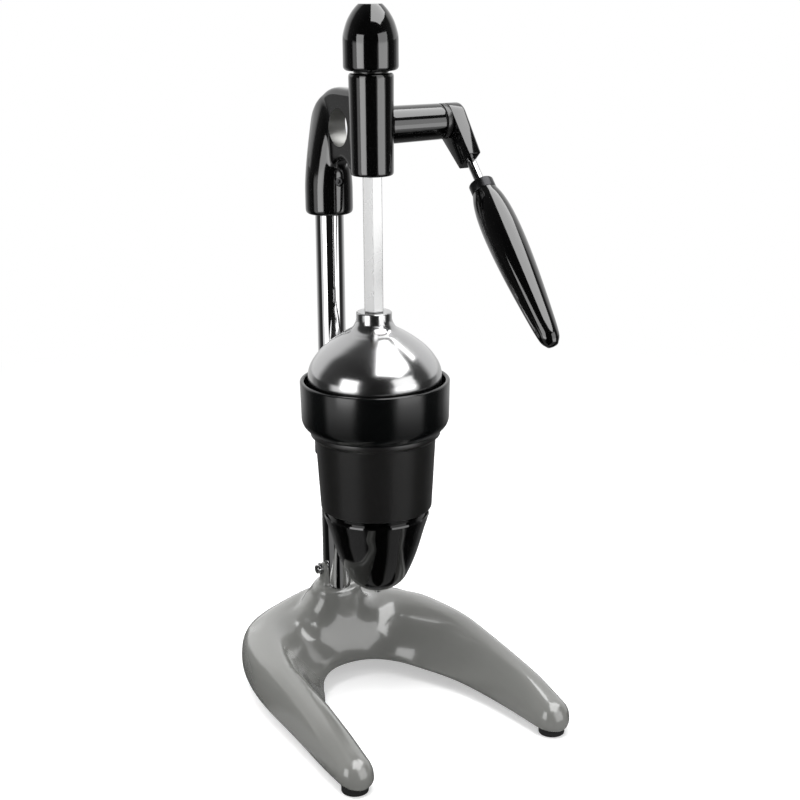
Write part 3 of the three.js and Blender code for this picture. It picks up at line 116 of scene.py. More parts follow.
# %% Spin a section into a body
SPIN_STEPS = 96


def round_off(bm, parts, reach, segments, affect="EDGES"):
    """Rounds edges or corners; the reach is in millimetres."""
    bmesh.ops.bevel(bm, geom=parts, offset=reach * MM, offset_type="OFFSET", segments=segments,
                    profile=0.5, affect=affect, material=-1)


def wire(bm, corners):
    """Draws a line through (radius, height) corners in millimetres. A third value rounds that corner:
    the rounding starts that far before the corner and ends as far after it."""
    verts = [bm.verts.new((corner[0] * MM, 0, corner[1] * MM)) for corner in corners]
    for pair in zip(verts, verts[1:]):
        bm.edges.new(pair)
    for vert, corner in list(zip(verts, corners)):
        if len(corner) > 2:
            round_off(bm, [vert], corner[2], 5, "VERTICES")


def spun(corners, back=0.0, steps=SPIN_STEPS, closed=False):
    """A body turned about a vertical axis that stands at y = back, from its half section."""
    bm = bmesh.new()
    wire(bm, corners)
    if closed:
        ends = [v for v in bm.verts if len(v.link_edges) == 1]
        bm.edges.new(ends)
    bmesh.ops.spin(bm, geom=bm.verts[:] + bm.edges[:], cent=(0, 0, 0), axis=(0, 0, 1),
                   angle=2 * math.pi, steps=steps, use_merge=True)
    bmesh.ops.remove_doubles(bm, verts=bm.verts, dist=1e-6)
    bmesh.ops.recalc_face_normals(bm, faces=bm.faces)
    bmesh.ops.translate(bm, vec=(0, back * MM, 0), verts=bm.verts)
    return bm


def smooth_line(corners, steps):
    """A smooth line through pairs of numbers, as a draughtsman's spline would run."""
    points = [Vector(corner) for corner in corners]
    ends = [2 * points[0] - points[1], *points, 2 * points[-1] - points[-2]]
    line = []
    for k in range(steps + 1):
        place = min(k * (len(points) - 1) / steps, len(points) - 1 - 1e-9)
        i = int(place)
        t = place - i
        a, b, c, d = ends[i:i + 4]
        line.append(tuple(0.5 * (2 * b + (c - a) * t + (2 * a - 5 * b + 4 * c - d) * t ** 2
                                 + (3 * b - a - 3 * c + d) * t ** 3)))
    return line


def side_line(shares, radius, bottom, height, steps):
    """A smooth line through points that are shares of a radius and of a height above the bottom."""
    return smooth_line([(r * radius, bottom + z * height) for r, z in shares], steps)


test_ring = spun([(3, 0), (5, 0, 1), (5, 4), (3, 4)], closed=True)
print("test ring faces", len(test_ring.faces), "open edges", sum(not e.is_manifold for e in test_ring.edges))
test_ring.free()

# %% [markdown]
# Castings are different: their walls run into each other with soft hollows. Here the rough solids are
# joined first, then a voxel remesh wraps one skin of even small squares round them, and a smoothing
# pass melts the corners into fillets. Bores and pockets are cut after that, because a machined edge
# stays sharp on a real casting too.

# %% Turn a bmesh into an object, run modifiers, cut and join
TURNS = {"X": Matrix.Rotation(math.pi / 2, 4, "Y"), "Y": Matrix.Rotation(-math.pi / 2, 4, "X"),
         "Z": Matrix.Identity(4)}


def as_object(made, name):
    """An object from a bmesh. An object comes back as it is."""
    if isinstance(made, bpy.types.Object):
        return made
    mesh = bpy.data.meshes.new(name)
    made.to_mesh(mesh)
    made.free()
    return add_object(name, mesh)


def settle(obj):
    """Applies the modifiers of an object to its mesh."""
    graph = bpy.context.evaluated_depsgraph_get()
    mesh = bpy.data.meshes.new_from_object(obj.evaluated_get(graph))
    obj.modifiers.clear()
    old = obj.data
    obj.data = mesh
    bpy.data.meshes.remove(old)
    return obj


def combine(made, others, operation):
    """Joins the others to a piece, or cuts them from it, and removes them."""
    obj = as_object(made, "piece")
    others = [as_object(other, "other") for other in others]
    for other in others:
        modifier = obj.modifiers.new("combine", "BOOLEAN")
        modifier.operation = operation
        modifier.solver = "EXACT"
        modifier.object = other
    settle(obj)
    for other in others:
        mesh = other.data
        bpy.data.objects.remove(other)
        bpy.data.meshes.remove(mesh)
    return obj


def add_melt(obj, passes):
    """A smoothing modifier."""
    melt = obj.modifiers.new("melt", "SMOOTH")
    melt.factor = 0.5
    melt.iterations = passes
    return melt


def cast_skin(obj, voxel, passes):
    """Wraps a casting in one even skin and melts its corners."""
    remesh = obj.modifiers.new("skin", "REMESH")
    remesh.mode = "VOXEL"
    remesh.voxel_size = voxel * MM
    add_melt(obj, passes)
    settle(obj)


def melt_where(obj, share_at, passes):
    """Melts a skin further, each point by the share that share_at gives for its place in millimetres."""
    group = obj.vertex_groups.new(name="soft")
    for vert in obj.data.vertices:
        share = share_at(vert.co / MM)
        if share > 0:
            group.add([vert.index], share, "REPLACE")
    add_melt(obj, passes).vertex_group = group.name
    settle(obj)
    obj.vertex_groups.clear()


def move(bm, place, verts=None):
    """Moves a body, or some of its points, by millimetres."""
    bmesh.ops.translate(bm, vec=Vector(place) * MM, verts=verts or bm.verts)


def bridge(bm, loops):
    """Closes the gaps between edge loops that follow each other."""
    for first, second in zip(loops, loops[1:]):
        bmesh.ops.bridge_loops(bm, edges=first + second)


def edges_of(verts):
    """The edges that meet at some points."""
    return list({edge for vert in verts for edge in vert.link_edges})


def close_ends(bm):
    """Fills the open ends of a body and turns its faces outwards."""
    bmesh.ops.holes_fill(bm, edges=[e for e in bm.edges if e.is_boundary])
    bmesh.ops.recalc_face_normals(bm, faces=bm.faces)


def plate(outline, thickness):
    """A flat plate from an outline in millimetres, made thicker along X."""
    bm = bmesh.new()
    face = bmesh.ops.contextual_create(bm, geom=[bm.verts.new(p * MM) for p in outline])["faces"]
    moved = bmesh.ops.extrude_face_region(bm, geom=face)["geom"]
    move(bm, (thickness, 0, 0), [v for v in moved if isinstance(v, bmesh.types.BMVert)])
    bmesh.ops.recalc_face_normals(bm, faces=bm.faces)
    return bm


def cylinder(radius, start, end, axis="Z", at=(0, 0, 0), segments=64, end_radius=None):
    """A rod along X, Y or Z from start to end, moved to a place; sizes in millimetres."""
    bm = bmesh.new()
    depth = (end - start) * MM
    bmesh.ops.create_cone(bm, cap_ends=True, segments=segments, radius1=radius * MM,
                          radius2=(end_radius or radius) * MM, depth=depth)
    bmesh.ops.translate(bm, vec=(0, 0, start * MM + depth / 2), verts=bm.verts)
    bmesh.ops.rotate(bm, matrix=TURNS[axis].to_3x3(), verts=bm.verts)
    move(bm, at)
    return bm


def slab(low, high, bevel=0.0):
    """A block between two corners, with rounded edges; sizes in millimetres."""
    bm = bmesh.new()
    low, high = Vector(low), Vector(high)
    bmesh.ops.create_cube(bm, size=1)
    bmesh.ops.scale(bm, vec=(high - low) * MM, verts=bm.verts)
    move(bm, (low + high) / 2)
    if bevel:
        round_off(bm, bm.edges[:], bevel, 3)
    return bm


def put(made, name, body, slot, material, *replaced, angle=32):
    """Names a finished piece, gives it its finish and body, and lets it stand for CAD nodes."""
    obj = as_object(made, name)
    obj.name = name
    obj.data.name = name
    obj.data.materials.clear()
    obj.data.materials.append(material)
    obj.data.shade_smooth()
    obj.data.set_sharp_from_angle(angle=math.radians(angle))
    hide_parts(*replaced)
    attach(obj, body)
    print(f"{name}: {len(obj.data.polygons)} faces, rides on {body}")


print("tools ready")

# %% [markdown]
# ## Effects that several finishes share
#
# Paint, plastic and metal differ in colour and gloss, but the same small faults show on all of them:
# the colour drifts a little, sprayed enamel dries with an orange-peel skin, hands leave patches of
# another gloss, lathes leave fine rings, and corners wear first. Each effect is a node group that is
# built once. A finish then places it with values of its own.

# %% Tools for shader nodes
VALUE, VECTOR, COLOR = "NodeSocketFloat", "NodeSocketVector", "NodeSocketColor"


def feed(tree, node, inputs):
    """Gives input sockets, by name or number, a value or a link from a (node, output) pair."""
    for key, value in inputs.items():
        if isinstance(value, tuple) and isinstance(value[0], bpy.types.Node):
            tree.links.new(value[0].outputs[value[1]], node.inputs[key])
        else:
            node.inputs[key].default_value = value
    return node


def add_node(tree, kind, inputs=None, **settings):
    """A shader node with its settings and inputs."""
    node = tree.nodes.new("ShaderNode" + kind)
    for key, value in settings.items():
        setattr(node, key, value)
    return feed(tree, node, inputs or {})


def calculate(tree, operation, *inputs):
    """The result of a sum on values or (node, output) pairs."""
    return add_node(tree, "Math", dict(enumerate(inputs)), operation=operation), "Value"


def new_group(name, inputs, outputs):
    """A shader node group. An input that is given as a number is a float socket with that value."""
    group = bpy.data.node_groups.new(name, "ShaderNodeTree")
    for label, kind in inputs.items():
        socket_type = VALUE if isinstance(kind, float) else kind
        socket = group.interface.new_socket(name=label, in_out="INPUT", socket_type=socket_type)
        if isinstance(kind, float):
            socket.default_value = kind
    for label, kind in outputs.items():
        group.interface.new_socket(name=label, in_out="OUTPUT", socket_type=kind)
    return group, group.nodes.new("NodeGroupInput"), group.nodes.new("NodeGroupOutput")


print("node tools ready")

# %% Node groups
drift, start, end = new_group("colour_drift", {
    "Vector": VECTOR, "Scale": 60.0, "Color": COLOR, "Other Color": COLOR,
}, {"Color": COLOR})
noise = add_node(drift, "TexNoise", {
    "Vector": (start, "Vector"), "Scale": (start, "Scale"), "Detail": 5.0, "Roughness": 0.6,
})
spread = add_node(drift, "MapRange", {"Value": (noise, "Fac"), "From Min": 0.25, "From Max": 0.75})
mix = add_node(drift, "Mix", {
    "Factor": (spread, "Result"), "A": (start, "Color"), "B": (start, "Other Color"),
}, data_type="RGBA")
feed(drift, end, {"Color": (mix, "Result")})

peel, start, end = new_group("enamel_peel", {"Vector": VECTOR, "Scale": 500.0, "Grain": 0.25},
                             {"Height": VALUE})
waves = add_node(peel, "TexNoise", {
    "Vector": (start, "Vector"), "Scale": (start, "Scale"), "Detail": 1.0, "Roughness": 0.4,
})
finer = calculate(peel, "MULTIPLY", (start, "Scale"), 5.0)
dust = add_node(peel, "TexNoise", {"Vector": (start, "Vector"), "Scale": finer, "Detail": 2.0})
total = calculate(peel, "MULTIPLY_ADD", (dust, "Fac"), (start, "Grain"), (waves, "Fac"))
feed(peel, end, {"Height": total})

handling, start, end = new_group("handling_marks", {
    "Vector": VECTOR, "Scale": 18.0, "Low": 0.1, "High": 0.2,
}, {"Roughness": VALUE})
patches = add_node(handling, "TexNoise", {
    "Vector": (start, "Vector"), "Scale": (start, "Scale"), "Detail": 3.0, "Roughness": 0.5,
})
spread = add_node(handling, "MapRange", {
    "Value": (patches, "Fac"), "From Min": 0.25, "From Max": 0.75,
    "To Min": (start, "Low"), "To Max": (start, "High"),
})
feed(handling, end, {"Roughness": (spread, "Result")})

wear, start, end = new_group("edge_wear", {"Vector": VECTOR, "Start": 0.53, "End": 0.6}, {"Mask": VALUE})
shape = add_node(wear, "NewGeometry")
chips = add_node(wear, "TexNoise", {"Vector": (start, "Vector"), "Scale": 900.0, "Detail": 3.0})
edge = add_node(wear, "MapRange", {
    "Value": (shape, "Pointiness"), "From Min": (start, "Start"), "From Max": (start, "End"),
}, interpolation_type="SMOOTHSTEP")
broken = calculate(wear, "MULTIPLY", (edge, "Result"), (chips, "Fac"))
feed(wear, end, {"Mask": broken})

rings, start, end = new_group("lathe_rings", {"Vector": VECTOR, "Scale": 2500.0}, {"Height": VALUE})
parts = add_node(rings, "SeparateXYZ", {"Vector": (start, "Vector")})
pitch = calculate(rings, "MULTIPLY", (parts, "Z"), (start, "Scale"))
lines = add_node(rings, "TexNoise", {"W": pitch, "Scale": 1.0, "Detail": 3.0}, noise_dimensions="1D")
feed(rings, end, {"Height": (lines, "Fac")})
print("node groups", [group.name for group in bpy.data.node_groups])

# %% [markdown]
# ## The finishes
#
# One recipe makes every finish: a Principled BSDF whose colour drifts between two near tones, whose
# roughness follows the handling marks, and whose surface is lifted by peel or by lathe rings. Worn
# edges show a third colour. Values that are the same all over sit on the shader's own sockets.

# %% Paints, plastics and metals
def finish(name, color, other, rough, relief, worn=None, metallic=0.0, specular=0.5, coat=0.0,
           coat_rough=0.05, drift_scale=40.0, marks_scale=18.0):
    """A material. The relief is a node group, its scale and its depth in thousandths of a millimetre."""
    material = bpy.data.materials.new(name)
    material.use_nodes = True
    tree = material.node_tree
    place = (add_node(tree, "TexCoord"), "Object")
    tone = add_node(tree, "Group", {
        "Vector": place, "Scale": drift_scale, "Color": (*color, 1), "Other Color": (*other, 1),
    }, node_tree=drift)
    base_color = (tone, "Color")
    if worn:
        mask = add_node(tree, "Group", {"Vector": place}, node_tree=wear)
        mix = add_node(tree, "Mix", {"Factor": (mask, "Mask"), "A": base_color, "B": (*worn, 1)},
                       data_type="RGBA")
        base_color = (mix, "Result")
    marks = add_node(tree, "Group", {
        "Vector": place, "Scale": marks_scale, "Low": rough[0], "High": rough[1],
    }, node_tree=handling)
    group, scale, depth = relief
    skin = add_node(tree, "Group", {"Vector": place, "Scale": scale}, node_tree=group)
    lift = add_node(tree, "Bump", {"Height": (skin, "Height"), "Strength": 1.0, "Distance": depth * MM * MM})
    feed(tree, tree.nodes["Principled BSDF"], {
        "Base Color": base_color, "Metallic": metallic, "Roughness": (marks, "Roughness"),
        "Specular IOR Level": specular, "Coat Weight": coat, "Coat Roughness": coat_rough,
        "Normal": (lift, "Normal"),
    })
    return material


grey_enamel = finish("grey_enamel", (0.192, 0.194, 0.183), (0.182, 0.184, 0.174), (0.2, 0.26),
                     (peel, 420, 4), specular=0.7, coat=1.0, coat_rough=0.04, drift_scale=18, marks_scale=9)
black_enamel = finish("black_enamel", (0.0012, 0.0012, 0.0013), (0.0018, 0.0018, 0.0018), (0.08, 0.11),
                      (peel, 380, 6), specular=0.8, coat=0.4, coat_rough=0.04)
black_lacquer = finish("black_lacquer", (0.0008, 0.0008, 0.0009), (0.0014, 0.0014, 0.0014), (0.06, 0.09),
                       (peel, 240, 4), specular=0.85, coat=0.4, coat_rough=0.03)
black_plastic = finish("black_plastic", (0.0012, 0.0016, 0.0017), (0.002, 0.0024, 0.0026), (0.16, 0.2),
                       (peel, 900, 4), worn=(0.02, 0.024, 0.025), specular=0.6)
satin_black = finish("satin_black", (0.0085, 0.0084, 0.0082), (0.0098, 0.0096, 0.0094), (0.27, 0.31),
                     (peel, 1400, 6), worn=(0.04, 0.04, 0.04), specular=0.8, marks_scale=10)
chrome = finish("chrome", (0.64, 0.64, 0.64), (0.6, 0.6, 0.605), (0.03, 0.05), (rings, 3000, 0.3),
                metallic=1, marks_scale=30)
polished_steel = finish("polished_steel", (0.56, 0.56, 0.565), (0.52, 0.52, 0.52), (0.15, 0.2),
                        (rings, 2600, 1.5), metallic=1, marks_scale=24)
plain_steel = finish("plain_steel", (0.43, 0.43, 0.43), (0.4, 0.4, 0.4), (0.24, 0.3), (peel, 2600, 3),
                     worn=(0.55, 0.55, 0.55), metallic=1)
dark_steel = finish("dark_steel", (0.06, 0.06, 0.062), (0.04, 0.04, 0.042), (0.28, 0.4), (peel, 2200, 4),
                    worn=(0.2, 0.2, 0.2), metallic=1)
bare_iron = finish("bare_iron", (0.32, 0.32, 0.31), (0.27, 0.27, 0.26), (0.42, 0.55), (peel, 1800, 8),
                   metallic=1, drift_scale=120)
bronze = finish("bronze", (0.42, 0.27, 0.1), (0.35, 0.21, 0.08), (0.3, 0.42), (peel, 2600, 4),
                worn=(0.6, 0.42, 0.2), metallic=1)
rubber = finish("rubber", (0.012, 0.012, 0.012), (0.02, 0.02, 0.02), (0.6, 0.8), (peel, 1600, 20),
                worn=(0.04, 0.04, 0.04), specular=0.35)
print("finishes", len(bpy.data.materials))

# %% [markdown]
# ## The base casting
#
# The base is one iron casting: a thick rounded wall bent into a horseshoe, with a boss at the back for
# the column. Its ridge is high at the rear and falls along both legs, the outside bellies out near the
# bench, and the inside sweeps down in a hollow flank to the edge of the arch. A single section is
# carried round a curve, so that the flow of the light over it has no kinks. The table gives, as
# shares of the spread, the length and the heights, where the ridge and the arch's edge run.

# %% Sizes and curves of the base
LEG_SPREAD, LEG_REACH, BASE_REAR = 78, 106.5, 108
RIDGE_HALF_WIDTH, WALL_HEIGHT = 23, 60
BASE_LIFT, REAR_LIFT, BELLY_HEIGHT, BELLY_RISE = 4.5, 10, 3.5, 12
wall_rows = [
    (0, 0, 0, 0.258, 1, 0.96), (0.333, 0.005, 0.141, 0.269, 0.935, 0.87),
    (0.622, 0.073, 0.269, 0.292, 1.04, 0.825), (0.788, 0.165, 0.378, 0.329, 0.957, 0.81),
    (0.904, 0.303, 0.474, 0.386, 0.74, 0.79), (0.962, 0.41, 0.577, 0.465, 0.578, 0.77),
    (0.977, 0.554, 0.679, 0.569, 0.53, 0.72), (0.983, 0.705, 0.75, 0.705, 0.545, 0.65),
    (0.996, 0.862, 0.801, 0.862, 0.56, 0.55), (1, 1, 0.833, 1, 0.55, 0.41),
]
ridge_back = BASE_REAR - RIDGE_HALF_WIDTH
wall_length = ridge_back + LEG_REACH


def station(row, side):
    """The ridge's point and the edge's place at a row, on the right (1) or left (-1) side. The edge's
    third value is the wall's half width there."""
    across, forward, edge_across, edge_forward, width, height = row
    ridge_y, edge_y = (ridge_back - share * wall_length for share in (forward, edge_forward))
    ridge = Vector((side * across * LEG_SPREAD, ridge_y, height * WALL_HEIGHT))
    return ridge, Vector((side * edge_across * LEG_SPREAD, edge_y, width * RIDGE_HALF_WIDTH))


def curve_point(points, share):
    """A point on the curve through the points, with spans timed by the root of their length."""
    place = min(share * (len(points) - 1), len(points) - 1 - 1e-9)
    i = int(place)
    t = place - i
    before = points[i - 1] if i else 2 * points[0] - points[1]
    after = points[i + 2] if i + 2 < len(points) else 2 * points[-1] - points[-2]
    a, b, c, d = before, points[i], points[i + 1], after
    first, span, last = (b - a).length ** 0.5, (c - b).length ** 0.5, (d - c).length ** 0.5
    out = ((b - a) / first - (c - a) / (first + span) + (c - b) / span) * span
    into = ((c - b) / span - (d - b) / (span + last) + (d - c) / last) * span
    return b + out * t + (3 * (c - b) - 2 * out - into) * t ** 2 + (2 * (b - c) + out + into) * t ** 3


stations = [station(row, -1) for row in wall_rows[:0:-1]] + [station(row, 1) for row in wall_rows]
ridges, edges = zip(*stations)
print("stations", len(ridges), "length of the wall", round(wall_length, 1), "mm")

# %% Carry the section round the horseshoe
RING_POINTS, WALL_STEPS, TIP_STEPS, TIP_TRIM = 32, 96, 5, 0.15
ROUNDNESS, HOLLOWNESS = 0.8, 1.2


def squarish(value):
    """Turns the sine or cosine of a circle into that of a circle with fuller corners."""
    return math.copysign(abs(value) ** ROUNDNESS, value)


def add_ring(bm, share, advance, squeeze):
    """One section of the wall at a share of the curve. At the legs' tips it is pushed forward by
    advance and made smaller by squeeze."""
    ridge, edge = curve_point(ridges, share), curve_point(edges, share)
    half_width = edge.z
    outward = Vector((ridge.x - edge.x, ridge.y - edge.y, 0))
    flank = max(outward.length - half_width, 0) * squeeze
    outward.normalize()
    centre = ridge + Vector((outward.y, -outward.x, 0)) * advance * half_width
    lift = BASE_LIFT + (REAR_LIFT - BASE_LIFT) * min((ridge.y + LEG_REACH) / wall_length, 1)
    top = lift + BELLY_HEIGHT + (ridge.z - lift - BELLY_HEIGHT) * squeeze
    half_width *= squeeze
    bulge = BELLY_RISE * min(half_width / RIDGE_HALF_WIDTH, 1) ** 2
    verts = []
    for j in range(RING_POINTS):
        angle = 2 * math.pi * j / RING_POINTS
        side, rise = squarish(math.cos(angle)), squarish(math.sin(angle))
        inner = 0
        if side < 0:
            inner = flank * ((1 - rise) ** HOLLOWNESS if rise > 0 else -side)
        belly = lift + BELLY_HEIGHT + bulge * max(side, 0)
        height = belly + (top - belly if rise > 0 else belly - lift) * rise
        across = half_width * side - inner
        place = Vector((centre.x + outward.x * across, centre.y + outward.y * across + ram_back, height))
        verts.append(bm.verts.new(place * MM))
    return [bm.edges.new((verts[j], verts[(j + 1) % RING_POINTS])) for j in range(RING_POINTS)]


base_bm = bmesh.new()
tips = [math.pi / 2 * (k - TIP_TRIM) / TIP_STEPS for k in range(TIP_STEPS, 0, -1)]
plan = [(0, -math.sin(a), math.cos(a)) for a in tips]
plan += [(i / WALL_STEPS, 0, 1) for i in range(WALL_STEPS + 1)]
plan += [(1, math.sin(a), math.cos(a)) for a in reversed(tips)]
loops = [add_ring(base_bm, *place) for place in plan]
bridge(base_bm, loops)
for loop in (loops[0], loops[-1]):
    bmesh.ops.contextual_create(base_bm, geom=loop)
bmesh.ops.recalc_face_normals(base_bm, faces=base_bm.faces)
print("horseshoe faces", len(base_bm.faces))

# %% [markdown]
# The column's boss flares into the wall, more to the sides than to the front, and its top slopes down
# to the back. Two ears rise from it and grip the column. They are joined to the horseshoe, and the
# remesh turns the three solids into one casting with fillets in its corners. The hollow between the
# boss and the legs is then melted much further, and a second skin evens out its squares.

# %% Boss, ears and skin of the base
BOSS_HEIGHT, BOSS_TOP_RADIUS, BOSS_TILT, BOSS_STEPS = 70, 13.4, 0.24, 24
EAR_FACE, EAR_HALF_WIDTH, EAR_BOTTOM, EAR_SCREW_HEIGHT = 12.9, 5, 24, 83
BASE_VOXEL, MELT_PASSES, RIDGE_STEPS = 1.25, 1600, 120
boss_rows = [(0.21, 2.8, 1.85), (0.4, 2.6, 1.45), (0.6, 2.34, 1.22), (0.75, 1.97, 1.11), (0.85, 1.61, 1.06),
             (0.94, 1.29, 1.02), (1, 1, 1)]


def boss_ring(bm, height, side, front):
    """A level line round the boss. Height, side and front are shares of its height and top radius."""
    made = bmesh.ops.create_circle(bm, segments=72, radius=1)["verts"]
    for vert in made:
        reach = BOSS_TOP_RADIUS * (side + (front - side) * max(-vert.co.y, 0) ** 2)
        rise = BOSS_HEIGHT * height + BOSS_TILT * BOSS_TOP_RADIUS
        vert.co = Vector((vert.co.x * reach, vert.co.y * reach + column_back, rise)) * MM
    return edges_of(made)


boss_bm = bmesh.new()
sides = smooth_line([(height, side) for height, side, front in boss_rows], BOSS_STEPS)
fronts = smooth_line([(height, front) for height, side, front in boss_rows], BOSS_STEPS)
bridge(boss_bm, [boss_ring(boss_bm, *side, front[1]) for side, front in zip(sides, fronts)])
bmesh.ops.bisect_plane(boss_bm, geom=boss_bm.verts[:] + boss_bm.edges[:] + boss_bm.faces[:],
                       plane_co=(0, column_back * MM, BOSS_HEIGHT * MM), plane_no=(0, -BOSS_TILT, 1),
                       clear_outer=True)
close_ends(boss_bm)
ear_bm = slab((-EAR_FACE, column_back - EAR_HALF_WIDTH, EAR_BOTTOM),
              (EAR_FACE, column_back + EAR_HALF_WIDTH, EAR_SCREW_HEIGHT))
ear_at = (0, column_back, EAR_SCREW_HEIGHT)
ear_top = cylinder(EAR_HALF_WIDTH, -EAR_FACE, EAR_FACE, "X", ear_at)
base = combine(base_bm, [boss_bm, ear_bm, ear_top], "UNION")
cast_skin(base, BASE_VOXEL, 10)
ridge_line = [curve_point(ridges, k / RIDGE_STEPS) for k in range(RIDGE_STEPS + 1)]


def by_the_boss(place):
    """How much the hollow round the boss is melted. The ridge, the arch's edge and the collar keep
    their shape, and so do the legs farther ahead. Each limit grows from 0 at a border to 1 inside it."""
    limits = ((67 - place.z) / 8, (place.z - 11) / 6, (70 - abs(place.x)) / 10,
              (column_back + 14 - place.y) / 10, (place.y - ram_back - 5) / 15)
    if min(limits) <= 0:
        return 0
    from_ridge = min(math.hypot(place.x - r.x, place.y - ram_back - r.y) for r in ridge_line)
    from_column = math.hypot(place.x, place.y - column_back)
    collar = max((from_column - 15) / 6, (56 - place.z) / 6)
    share = 1
    for limit in (*limits, (from_ridge - 6) / 7, collar):
        share *= max(min(limit, 1), 0)
    return share


melt_where(base, by_the_boss, MELT_PASSES)
cast_skin(base, BASE_VOXEL, 8)
print("skin faces", len(base.data.polygons))

# %% Bores and pockets of the base
COLUMN_BORE, BOLT_HOLE, BOLT_POCKET, SCREW_HOLE, FOOT_POCKET = 10.3, 5.3, 13, 2.3, 9.8
POCKET_DEPTH, REAR_FOOT_ACROSS, REAR_FOOT_BACK, GAP = 4, 44, 84, 0.3
foot_rows = (("front", LEG_SPREAD, -LEG_REACH, BASE_LIFT),
             ("rear", REAR_FOOT_ACROSS, REAR_FOOT_BACK, REAR_LIFT))
foot_places = {}
for place, across, back, lift in foot_rows:
    for side, sign in (("left", -1), ("right", 1)):
        foot_places[f"{place}_{side}"] = (sign * across, ram_back + back, lift + POCKET_DEPTH)
foot_of_column = (0, column_back, 0)
cuts = [
    cylinder(COLUMN_BORE, 32, 120, at=foot_of_column, segments=96),
    cylinder(BOLT_HOLE, -5, 40, at=foot_of_column), cylinder(BOLT_POCKET, -5, 24, at=foot_of_column),
    cylinder(SCREW_HOLE, -40, 40, "X", ear_at),
]
for x, y, seat in foot_places.values():
    cuts.append(cylinder(FOOT_POCKET, -5, seat, at=(x, y, 0)))
    cuts.append(cylinder(SCREW_HOLE, 0, seat + 12, at=(x, y, 0), segments=24))
combine(base, cuts, "DIFFERENCE")
put(base, "base_shell", "frame", "grey_enamel", grey_enamel, "base_casting", angle=50)

# %% [markdown]
# ## The head casting
#
# The head is a second casting. A sleeve stands on the column and narrows upwards into a flat web, the
# web bends over to the front and carries the upright guide of the ram, and a round hub for the lever's
# shaft sticks out to the right. A round hole goes through the web, and an arch opens below it. Sleeve
# and web are joined and skinned first, with wide fillets. Guide and hub are joined to them after that,
# and a second skin leaves them only a narrow fillet.

# %% Sleeve and web of the head
SLEEVE_RADIUS, SLEEVE_BOTTOM, WAIST_START, WAIST_END, WAIST_STEPS, WAIST_HALF = 16.8, 348, 366, 430, 16, 5.7
ELBOW_RADIUS, ELBOW_TOP, ELBOW_STEPS, WEB_HALF, HEAD_VOXEL = 39, 437, 24, 6, 0.85
GUIDE_BOTTOM, GUIDE_TOP, GUIDE_RADII = 382, 449, (14.4, 15)
ARCH_TOP, ARCH_FROM_GUIDE = 389.5, 7


def elbow_plate(bottom, half_width, bevel=0.0):
    """The arm seen from the side: up the back, round the elbow and forward over the ram."""
    rear = column_back + SLEEVE_RADIUS
    centre = Vector((-half_width, rear - ELBOW_RADIUS, ELBOW_TOP - ELBOW_RADIUS))
    outline = [Vector((-half_width, ram_back, bottom)), Vector((-half_width, rear, bottom))]
    for k in range(ELBOW_STEPS + 1):
        angle = math.pi / 2 * k / ELBOW_STEPS
        outline.append(centre + ELBOW_RADIUS * Vector((0, math.cos(angle), math.sin(angle))))
    outline.append(Vector((-half_width, ram_back, ELBOW_TOP)))
    bm = plate(outline, 2 * half_width)
    if bevel:
        round_off(bm, [e for e in bm.edges if abs(e.verts[0].co.x - e.verts[1].co.x) < 1e-7], bevel, 4)
    return bm


def sleeve_ring(bm, share):
    """A level line round the sleeve, at a share of the way up its waist."""
    made = bmesh.ops.create_circle(bm, segments=64, radius=MM)["verts"]
    half_width = SLEEVE_RADIUS + (WAIST_HALF - SLEEVE_RADIUS) * max(share, 0) ** 1.5
    height = WAIST_START + (WAIST_END - WAIST_START) * share
    bmesh.ops.scale(bm, vec=(half_width, SLEEVE_RADIUS, 1), verts=made)
    bmesh.ops.translate(bm, vec=(0, column_back * MM, height * MM), verts=made)
    return edges_of(made)


sleeve_bm = bmesh.new()
bottom_share = (SLEEVE_BOTTOM - WAIST_START) / (WAIST_END - WAIST_START)
waist_shares = [k / WAIST_STEPS for k in range(WAIST_STEPS + 1)]
bridge(sleeve_bm, [sleeve_ring(sleeve_bm, share) for share in (bottom_share, *waist_shares)])
close_ends(sleeve_bm)
head = combine(sleeve_bm, [elbow_plate(SLEEVE_BOTTOM - 1, SLEEVE_RADIUS + 2)], "INTERSECT")

arch_front, arch_rear = ram_back + GUIDE_RADII[0] + ARCH_FROM_GUIDE, column_back - SLEEVE_RADIUS
arch_middle, arch_radius = (arch_front + arch_rear) / 2, (arch_rear - arch_front) / 2
arch_height = ARCH_TOP - arch_radius
arch_cuts = [cylinder(arch_radius, -20, 20, "X", (0, arch_middle, arch_height)),
             slab((-20, arch_front, 330), (20, arch_rear, arch_height))]
web = combine(elbow_plate(GUIDE_BOTTOM, WEB_HALF, 3), arch_cuts, "DIFFERENCE")
combine(head, [web], "UNION")
cast_skin(head, HEAD_VOXEL, 45)
print("sleeve and web:", len(head.data.polygons), "faces")

